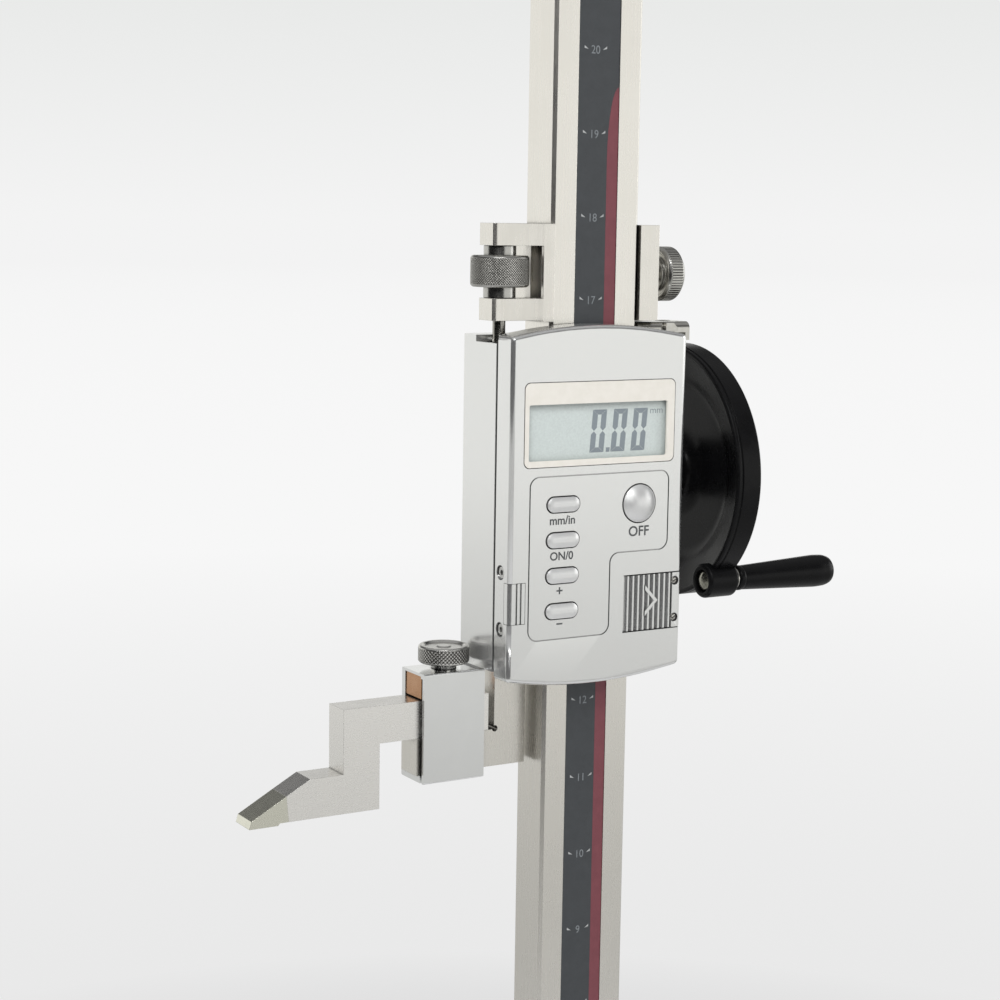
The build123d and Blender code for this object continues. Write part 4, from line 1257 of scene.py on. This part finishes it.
    def cover_screws(self) -> None:
        """Cheese heads of the battery cover, a little domed, each with a dark plate of painted shade for its
        slot.
        """
        top, seat = self.face + self.screw_sink, self.face + self.well_depth
        radius, end = self.screw_radius, top + self.screw_length
        outline = [(0, top), (radius * 0.6, top + 0.05), (radius, top + 0.35), (radius, seat), (0.7, seat),
                   (0.7, end), (0, end)]
        along, across = (Vector(half) for half in self.slot_half)
        corners = (along + across, across - along, -along - across, along - across)
        heads, slots = [], []
        for z in self.screw_z:
            heads.append(lathe(eased(outline, 0.2), (self.screw_x, 0, z), Axis.Y, "cover_screw", 32))
            # a dark plate of painted shade stands for each slot
            slots.append(plate([(self.screw_x + corner.x, z + corner.y) for corner in corners], top - 0.01,
                               "slot"))
        dress(join(heads, "cover_screw_heads"), Body.BATTERY_DOOR, NICKEL, Slot.PLAIN_STEEL,
              "battery_cover_screws")
        dress(join(slots, "cover_screw_slot_shade"), Body.BATTERY_DOOR, PAINTED_SLOT_SHADE, Slot.BLACK_STEEL)

    def build(self) -> None:
        """Make the shells, keys, lid and marks, and dress what lies behind them."""
        self.shells()
        for node, body, z in self.pill_keys:
            dress(self.pill_cap(node + "_cap", z), body, KEY_SILVER, Slot.BUTTON, node)
        dress(self.off_cap(), Body.OFF_KEY, KEY_SILVER, Slot.BUTTON, "button_off")
        self.lid()
        self.cover_screws()
        self.labels()
        paint_nodes(GREEN_BOARD, "circuit_board", "sensor_board")
        paint_nodes(GREY_RUBBER, "keypad_mat")
        paint_nodes(BLACK_SATIN, "data_socket")
        paint_nodes(NICKEL, "button_cell", "battery_contact")
        paint_nodes(BLACK_OXIDE, "rear_cover_screws", "gib_screws")
        paint_nodes(BRIGHT_STEEL, "housing_side_screws", "keeper_plate", "keeper_screws")


@dataclass
class Frame:
    """Slider frame with its jaw, gib, guard bar and bearing block."""

    guard_x: tuple[float, float] = (17.0, 36.9)
    guard_y: tuple[float, float] = (-7.5, 6.0)
    guard_z: tuple[float, float] = (421.3, 424.7)
    guard_tip: float = 1.6  # thickness of the end that is turned down
    guard_drop: float = 2.5  # how far it is turned down
    guard_round: float = 2.2
    guard_screws: tuple[float, float] = (20.8, 31.5)
    seat_radius: float = 2.5
    seat_depth: float = 1.5
    lug: Outline = ((26.8, 421.9), (31.4, 421.9), (31.4, 422.7), (29.7, 424.4), (26.8, 424.4))
    lug_y: Limits = (-8.9, -4.5)
    foot: Outline = ((17.4, 418.65), (24.2, 418.65), (24.2, 421.3), (17.4, 421.3))
    foot_front: float = -6.5

    def guard(self) -> Obj:
        """Guard bar with its end turned down, a rounded front edge, a lug and two sunk screw seats."""
        left, right = self.guard_x
        front, back = self.guard_y
        low, high = self.guard_z
        tip, lowest = right - self.guard_tip, low - self.guard_drop
        outline = [(left, low), (tip, low), (tip, lowest), (right, lowest), (right, high), (left, high)]
        rod = block(outline, back, front, "guard")

        def is_upper_front(edge: bpy.types.MeshEdge) -> bool:
            """Whether both ends of an edge lie on the upper front corner."""
            ends = [rod.data.vertices[index].co / MM for index in edge.vertices]
            return all(abs(end.y - front) < 0.01 and abs(end.z - high) < 0.01 for end in ends)

        with editing(rod, "EDGE", is_upper_front):
            bpy.ops.mesh.bevel(offset=self.guard_round * MM, segments=6)
        bottom, radius = high - self.seat_depth, self.seat_radius
        seat = [(0, bottom), (radius, bottom), (radius, high + 1), (0, high + 1)]
        seats = [lathe(seat, (x, 0, 0), Axis.Z, "seat", 40) for x in self.guard_screws]
        rod = smooth(cut(smooth(rod), *seats))
        lug = smooth(block(self.lug, self.lug_y[1], self.lug_y[0], "lug"))
        foot = smooth(block(self.foot, back, self.foot_front, "foot"))
        return join([rod, lug, foot], "guard")

    def guard_heads(self) -> Obj:
        """Countersunk heads with a round socket."""
        high, bottom = self.guard_z[1], self.guard_z[1] - self.seat_depth
        outer = self.seat_radius - 0.1
        outline = [(0, high - 1.1), (0.9, high - 1.1), (1.1, high - 0.35), (outer - 0.1, high - 0.35),
                   (outer, high - 0.6), (outer, bottom), (0, bottom)]
        heads = [lathe(eased(outline, 0.1), (x, 0, 0), Axis.Z, "head", 40) for x in self.guard_screws]
        return join(heads, "guard_heads")

    def build(self) -> None:
        """Dress the solids, and make the guard bar."""
        paint_nodes(BLOCK_STEEL, "slider_frame")
        paint_nodes(BRASS, "gib_strip")
        dress(self.guard(), Body.SLIDER, NICKEL, Slot.CHROME, "guard_bar")
        dress(self.guard_heads(), Body.SLIDER, BLACK_OXIDE, Slot.PLAIN_STEEL, "guard_bar_screws")
        dress(softened("pinion_housing", "bearing_block"), Body.SLIDER, BASE_ENAMEL, Slot.CAST_BASE,
              "pinion_housing")
        paint_nodes(BLACK_OXIDE, "pinion_housing_screws")
        paint_nodes(BRONZE, "shaft_bushes")


@dataclass
class Handwheel:
    """Dished handwheel, its crank and the pinion shaft."""

    left: float = 42.2
    right: float = 51.5
    radius: float = 42.0
    boss_x: tuple[float, float] = (40.0, 52.3)
    boss_radius: float = 5.6
    grip_x: tuple[float, float] = (53.2, 92.0)

    def dish(self) -> Obj:
        """Rim, dish and hub in one outline, turned about the shaft."""
        outer = self.radius
        outline = [(3.03, 40.3), (8.6, 40.3), (9.2, 40.9), (10.2, 46.2), (14.5, 48.0), (28.5, 48.0),
                   (32.6, 45.6), (40.2, self.left + 0.3), (40.6, self.left), (41.6, self.left),
                   (outer, self.left + 0.4), (outer, self.left + 1.3), (41.6, self.left + 1.5),
                   (41.6, self.left + 1.9), (outer, self.left + 2.1), (outer, self.right - 0.6),
                   (41.4, self.right), (38.6, self.right), (37.4, self.right - 1.0),
                   (14.0, self.right - 1.0), (11.0, 51.2), (3.03, 51.2)]
        return lathe(eased(outline, 3.0, 5), WHEEL_AXIS, Axis.X, "dish", 144)

    def boss(self) -> Obj:
        """Boss of the crank, hollow in front for the head of its screw."""
        left, right = self.boss_x
        radius = self.boss_radius
        outline = [(2.05, left + 1.8), (3.7, left + 1.8), (3.7, left), (radius - 0.7, left),
                   (radius, left + 0.7), (radius, right - 1.6), (radius - 1.6, right), (2.05, right)]
        return lathe(eased(outline, 0.4), CRANK_AXIS, Axis.X, "boss", 64)

    def grip(self) -> Obj:
        """Turned grip, a little thicker towards its round end."""
        left, right = self.grip_x
        outline = [(2.06, left), (3.5, left), (4.1, left + 0.6), (4.1, left + 1.8), (3.9, left + 2.2),
                   (4.0, left + 2.8), (4.7, left + 18.8), (5.4, left + 32.8), (5.2, left + 36.4),
                   (4.6, right - 0.6), (3.9, right), (3.9, 86.4), (2.06, 86.4)]
        return lathe(eased(outline, 1.2, 4), CRANK_AXIS, Axis.X, "grip", 64)

    def build(self) -> None:
        """Dress wheel, screws and grip."""
        wheel = join([self.dish(), self.boss()], "dished_wheel")
        dress(wheel, Body.WHEEL, BLACK_GLOSS, Slot.BLACK_PLASTIC, "handwheel")
        dress(self.grip(), Body.GRIP, BLACK_GLOSS, Slot.BLACK_PLASTIC, "crank_handle")
        head = self.boss_x[0] + 1.8
        screw = [(0, head - 1.5), (1.6, head - 1.4), (2.9, head - 0.9), (3.2, head - 0.6), (3.2, head),
                 (1.2, head), (1.2, 49), (0, 49)]
        dress(lathe(eased(screw, 0.5), CRANK_AXIS, Axis.X, "boss_screw", 48), Body.WHEEL, CRANK_STEEL,
              Slot.PLAIN_STEEL, "crank_screw")
        dress(softened("crank_washer", "grip_washer"), Body.WHEEL, NICKEL, Slot.CHROME, "crank_washer")
        dress(softened("hub_screw", "wheel_screw"), Body.WHEEL, SHAFT_STEEL, Slot.PLAIN_STEEL, "hub_screw")
        paint_nodes(SHAFT_STEEL, "pinion_shaft", "hub_washer")
        paint_nodes(CRANK_STEEL, "crank_spindle")


@dataclass
class FineAdjustment:
    """Carriage above the head, with its nut, rod and lock knob."""

    nut_z: tuple[float, float] = (435.8, 445.4)
    nut_radius: float = 9.0
    collar_z: tuple[float, float] = (432.5, 448.3)
    collar_radius: float = 5.0
    bore: float = 2.06
    knob_radius: float = 8.7
    pocket: tuple[tuple[float, float], ...] = ((-21.0, -16.9), (-8.8, -2.4), (432.4, 448.4))

    def nut(self) -> Obj:
        """Nut between two collars, with chamfered rims."""
        low, high = self.nut_z
        outer = self.nut_radius
        outline = [(self.bore, self.collar_z[0]), (self.collar_radius, self.collar_z[0]),
                   (self.collar_radius, low), (outer - 0.6, low), (outer, low + 0.6), (outer, high - 0.6),
                   (outer - 0.6, high), (self.collar_radius, high), (self.collar_radius, self.collar_z[1]),
                   (self.bore, self.collar_z[1])]
        return lathe(eased(outline), NUT_AXIS, Axis.Z, "knurled_nut")

    def knob(self) -> Obj:
        """Lock knob with a raised ring on its inner face and a chamfer on its outer one."""
        outer = self.knob_radius
        outline = [(0, 18.75), (2.5, 18.75), (2.5, 27.0), (5.6, 27.0), (5.6, 28.2), (7.0, 28.2), (7.2, 27.8),
                   (7.8, 27.8), (outer, 28.6), (outer, 33.4), (7.4, 34.6), (0, 34.9)]
        return lathe(eased(outline), LOCK_AXIS, Axis.X, "knurled_lock")

    def build(self) -> None:
        """Dress carriage, nut and knob."""
        block = cut(copied("carriage", "carriage_block"), bar(*self.pocket))
        dress(smooth(block), Body.CARRIAGE, BLOCK_STEEL, Slot.GROUND_STEEL, "carriage")
        paint_nodes(BRASS, "carriage_shoe")
        dress(self.nut(), Body.NUT, NUT_KNURL, Slot.CHROME, "fine_nut")
        dress(self.knob(), Body.LOCK, LOCK_KNURL, Slot.PLAIN_STEEL, "lock_knob")
        dress(softened("fine_screw", "feed_rod"), Body.SLIDER, ROD_STEEL, Slot.PLAIN_STEEL, "fine_screw")


@dataclass
class ScriberClamp:
    """Scriber, its tip, the clamp box and its knob."""

    box_top: float = 317.1
    scriber_top: float = 308.5
    knob_radius: float = 8.05
    box_slot: tuple[tuple[float, float], ...] = ((-60.0, -51.0), (-1.2, -0.05), (278.0, 315.5))

    def knob(self) -> Obj:
        """Clamp knob with a dished top, on its screw."""
        top, outer = self.box_top, self.knob_radius
        outline = [(0, self.scriber_top + 0.1), (2.5, self.scriber_top + 0.1), (2.5, top + 0.05),
                   (4.0, top + 0.05), (4.0, top + 1.9), (outer - 0.6, top + 1.9), (outer, top + 2.4),
                   (outer, top + 6.9), (outer - 0.5, top + 7.4), (6.6, top + 7.4), (6.0, top + 6.8),
                   (2.4, top + 6.8), (2.1, top + 7.1), (0, top + 7.1)]
        return lathe(eased(outline, 0.15), CLAMP_AXIS, Axis.Z, "clamp_wheel")

    def build(self) -> None:
        """Dress the solids."""
        paint_nodes(SCRIBER_STEEL, "scriber")
        paint_nodes(CARBIDE, "carbide_tip")
        paint_nodes(COPPER, "clamp_block")
        box = cut(copied("clamp_box", "clamp_loop"), bar(*self.box_slot))
        dress(smooth(box), Body.CLAMP, BOX_CHROME, Slot.CHROME, "clamp_box")
        dress(self.knob(), Body.CLAMP_SCREW, CLAMP_KNURL, Slot.CHROME, "clamp_knob")


# ------------------------------------------------------------------ studio
@dataclass
class Studio:
    """Pale floor, even background, soft lamps, a dark flag beside the camera, and the camera; in metres."""

    eye: Point = (-0.3549, -0.5499, 0.4556)
    yaw: float = 30.65
    pitch: float = 8.18
    roll: float = 0.85
    focal_px: float = 2071.0
    centre_px: tuple[float, float] = (498.0, 519.0)
    floor_radius: float = 30.0
    floor_drop: float = 0.0002
    cloth_ends: Limits = (0.25, 0.6)  # from the object, where the floor that takes its shadow ends
    floor_pales: Limits = (0.5, 2.2)
    mirrored_pales: Limits = (0.5, 3.0)
    floor_fades: Limits = (3.0, 20.0)
    floor_near: str = "#E8E8E8"
    floor_far: str = "#F7F7F7"
    mirrored_near: str = "#B1B1AF"
    mirrored_far: str = "#F6F6F3"
    ceiling: str = "#5C5C5C"
    zenith: str = "#A6A6A6"
    horizon: str = "#F3F3F3"
    backdrop_top: str = "#E9EAE9"
    sky_rises: Limits = (0.0, 0.1)  # height of the view, from 0 level to 1 upright
    ceiling_starts: Limits = (0.2, 0.4)
    zenith_starts: Limits = (0.6, 0.75)
    ambient: str = "#F4F4F6"
    ambient_level: float = 0.55
    flag_tone: str = "#141414"
    flag_centre: Point = (-0.9, -0.54, 0.7)
    flag_size: tuple[float, float] = (3.6, 1.5)
    aim: Point = (0.0, 0.0, 0.4)
    lamps: tuple[tuple[str, Point, float, float], ...] = (  # name, place, size and watts
        ("key", (-0.9, -1.3, 1.5), 1.1, 22.0), ("fill", (1.9, -0.6, 0.9), 1.2, 6.0))

    def camera(self) -> None:
        """Camera at its place, for a square frame."""
        yaw, pitch, roll = (math.radians(part) for part in (self.yaw, self.pitch, self.roll))
        ahead = Vector((math.sin(yaw) * math.cos(pitch), math.cos(yaw) * math.cos(pitch), -math.sin(pitch)))
        right = Vector((math.cos(yaw), -math.sin(yaw), 0.0))
        up = right.cross(ahead)
        right, up = right * math.cos(roll) + up * math.sin(roll), up * math.cos(roll) - right * math.sin(roll)
        data = bpy.data.cameras.new("camera")
        data.sensor_width = SENSOR
        data.lens = SENSOR * self.focal_px / FRAME
        data.shift_x = 0.5 - self.centre_px[0] / FRAME
        data.shift_y = self.centre_px[1] / FRAME - 0.5
        data.clip_start = 0.01
        data.clip_end = 100
        camera = bpy.data.objects.new("camera", data)
        turn = Matrix((right, up, -ahead)).transposed().to_4x4()
        camera.matrix_world = Matrix.Translation(Vector(self.eye)) @ turn
        bpy.context.scene.collection.objects.link(camera)
        bpy.context.scene.camera = camera

    def rays(self, tree: Tree) -> tuple[Socket, Socket]:
        """Whether a ray comes from the camera, and whether it comes off or through a shiny surface.

        Args:
            tree: The node tree.

        Returns:
            Both answers as value sockets.
        """
        path = add_node(tree, "ShaderNodeLightPath").outputs
        mirrored = add_node(tree, "ShaderNodeMath",
                            {0: path["Is Glossy Ray"], 1: path["Is Transmission Ray"]},
                            operation="MAXIMUM").outputs[0]
        return path["Is Camera Ray"], mirrored

    def floor_material(self) -> bpy.types.Material:
        """Pale floor that takes the shadow, and fades into the even background away from the object."""
        material = bpy.data.materials.new("studio_floor")
        tree = empty_tree(material)
        coords = add_node(tree, "ShaderNodeTexCoord").outputs["Object"]
        reach = add_node(tree, "ShaderNodeVectorMath", {0: coords}, operation="LENGTH").outputs["Value"]
        away, near, far, fade = (
            add_node(tree, "ShaderNodeMapRange",
                     {"Value": reach, "From Min": start, "From Max": end}).outputs[0]
            for start, end in (self.cloth_ends, self.floor_pales, self.mirrored_pales, self.floor_fades))
        camera, mirrored = self.rays(tree)
        seen = add_node(tree, "ShaderNodeMath", {0: camera, 1: mirrored}, operation="MAXIMUM").outputs[0]
        direct = add_node(tree, "ShaderNodeMix",
                          {0: near, 6: linear(self.floor_near), 7: linear(self.floor_far)},
                          data_type="RGBA").outputs[2]
        direct = add_node(tree, "ShaderNodeMix", {0: fade, 6: direct, 7: linear(self.horizon)},
                          data_type="RGBA").outputs[2]
        reflected = add_node(tree, "ShaderNodeMix",
                             {0: far, 6: linear(self.mirrored_near), 7: linear(self.mirrored_far)},
                             data_type="RGBA").outputs[2]
        colour = add_node(tree, "ShaderNodeMix", {0: mirrored, 6: direct, 7: reflected},
                          data_type="RGBA").outputs[2]
        plain = add_node(tree, "ShaderNodeEmission", {"Color": colour, "Strength": 1.0}).outputs[0]
        cloth = add_node(tree, "ShaderNodeBsdfDiffuse", {"Color": linear(self.floor_near)}).outputs[0]
        part = add_node(tree, "ShaderNodeMath", {0: away, 1: seen}, operation="MULTIPLY").outputs[0]
        mix = add_node(tree, "ShaderNodeMixShader", {0: part, 1: cloth, 2: plain}).outputs[0]
        add_node(tree, "ShaderNodeOutputMaterial", {"Surface": mix})
        return material

    def floor(self) -> None:
        """One wide round floor."""
        choose()
        bpy.ops.mesh.primitive_circle_add(vertices=96, radius=self.floor_radius, fill_type="NGON",
                                          location=(0, 0, -self.floor_drop))
        floor = bpy.context.view_layer.objects.active
        floor.data.transform(floor.matrix_world)
        floor.matrix_world = Matrix.Identity(4)
        floor.name = "studio_floor"
        floor.data.materials.append(self.floor_material())

    def world(self) -> None:
        """Even pale surroundings; metal sees them with a dark ceiling above."""
        world = bpy.data.worlds.new("surroundings")
        bpy.context.scene.world = world
        tree = empty_tree(world)
        coords = add_node(tree, "ShaderNodeTexCoord").outputs["Generated"]
        height = add_node(tree, "ShaderNodeSeparateXYZ", {0: coords}).outputs[2]
        over, roof, high = (
            add_node(tree, "ShaderNodeMapRange",
                     {"Value": height, "From Min": start, "From Max": end}).outputs[0]
            for start, end in (self.sky_rises, self.ceiling_starts, self.zenith_starts))
        direct = add_node(tree, "ShaderNodeMix",
                          {0: over, 6: linear(self.horizon), 7: linear(self.backdrop_top)},
                          data_type="RGBA").outputs[2]
        reflected = add_node(tree, "ShaderNodeMix",
                             {0: roof, 6: linear(self.mirrored_far), 7: linear(self.ceiling)},
                             data_type="RGBA").outputs[2]
        reflected = add_node(tree, "ShaderNodeMix", {0: high, 6: reflected, 7: linear(self.zenith)},
                             data_type="RGBA").outputs[2]
        backdrop = add_node(tree, "ShaderNodeBackground", {"Color": direct, "Strength": 1.0}).outputs[0]
        mirror = add_node(tree, "ShaderNodeBackground", {"Color": reflected, "Strength": 1.0}).outputs[0]
        ambient = add_node(tree, "ShaderNodeBackground",
                           {"Color": linear(self.ambient), "Strength": self.ambient_level}).outputs[0]
        camera, mirrored = self.rays(tree)
        lit = add_node(tree, "ShaderNodeMixShader", {0: mirrored, 1: ambient, 2: mirror}).outputs[0]
        mix = add_node(tree, "ShaderNodeMixShader", {0: camera, 1: lit, 2: backdrop}).outputs[0]
        add_node(tree, "ShaderNodeOutputWorld", {"Surface": mix})

    def lamp(self, name: str, at: Point, size: float, power: float) -> None:
        """One soft square lamp that faces the object.

        Args:
            name: Its name.
            at: Its place.
            size: Its width and height.
            power: Its watts.
        """
        data = bpy.data.lights.new(name, "AREA")
        data.size = size
        data.energy = power
        lamp = bpy.data.objects.new(name, data)
        facing = (Vector(self.aim) - Vector(at)).to_track_quat("-Z", "Y").to_matrix().to_4x4()
        lamp.matrix_world = Matrix.Translation(Vector(at)) @ facing
        bpy.context.scene.collection.objects.link(lamp)

    def flag(self) -> None:
        """Black panel at the camera's side, which shiny surfaces alone see as a dark room behind a camera."""
        choose()
        bpy.ops.mesh.primitive_plane_add(size=1.0)
        obj = bpy.context.view_layer.objects.active
        obj.name = "dark_flag"
        facing = Vector((-self.flag_centre[0], -self.flag_centre[1], 0.0)).to_track_quat("Z", "Y")
        place = Matrix.Translation(Vector(self.flag_centre)) @ facing.to_matrix().to_4x4()
        obj.data.transform(place @ Matrix.Diagonal((self.flag_size[0], self.flag_size[1], 1.0, 1.0)))
        material = bpy.data.materials.new("dark_flag")
        tree = empty_tree(material)
        cloth = add_node(tree, "ShaderNodeEmission",
                         {"Color": linear(self.flag_tone), "Strength": 1.0}).outputs[0]
        add_node(tree, "ShaderNodeOutputMaterial", {"Surface": cloth})
        obj.data.materials.append(material)
        obj.visible_camera = False
        obj.visible_diffuse = False
        obj.visible_shadow = False

    def build(self) -> None:
        """Set up floor, light and camera."""
        bpy.context.scene.view_settings.view_transform = "Standard"
        bpy.context.scene.cycles.sample_clamp_indirect = 2.0
        self.floor()
        self.world()
        for lamp in self.lamps:
            self.lamp(*lamp)
        self.flag()
        self.camera()


def main() -> None:
    """Build and dress every sub-assembly, then set up the studio."""
    for part in (Column(), Frame(), Head(), Display(), Handwheel(), FineAdjustment(), ScriberClamp(),
                 Studio()):
        part.build()
        log.info("built %s", type(part).__name__)


if __name__ == "__main__":
    main()
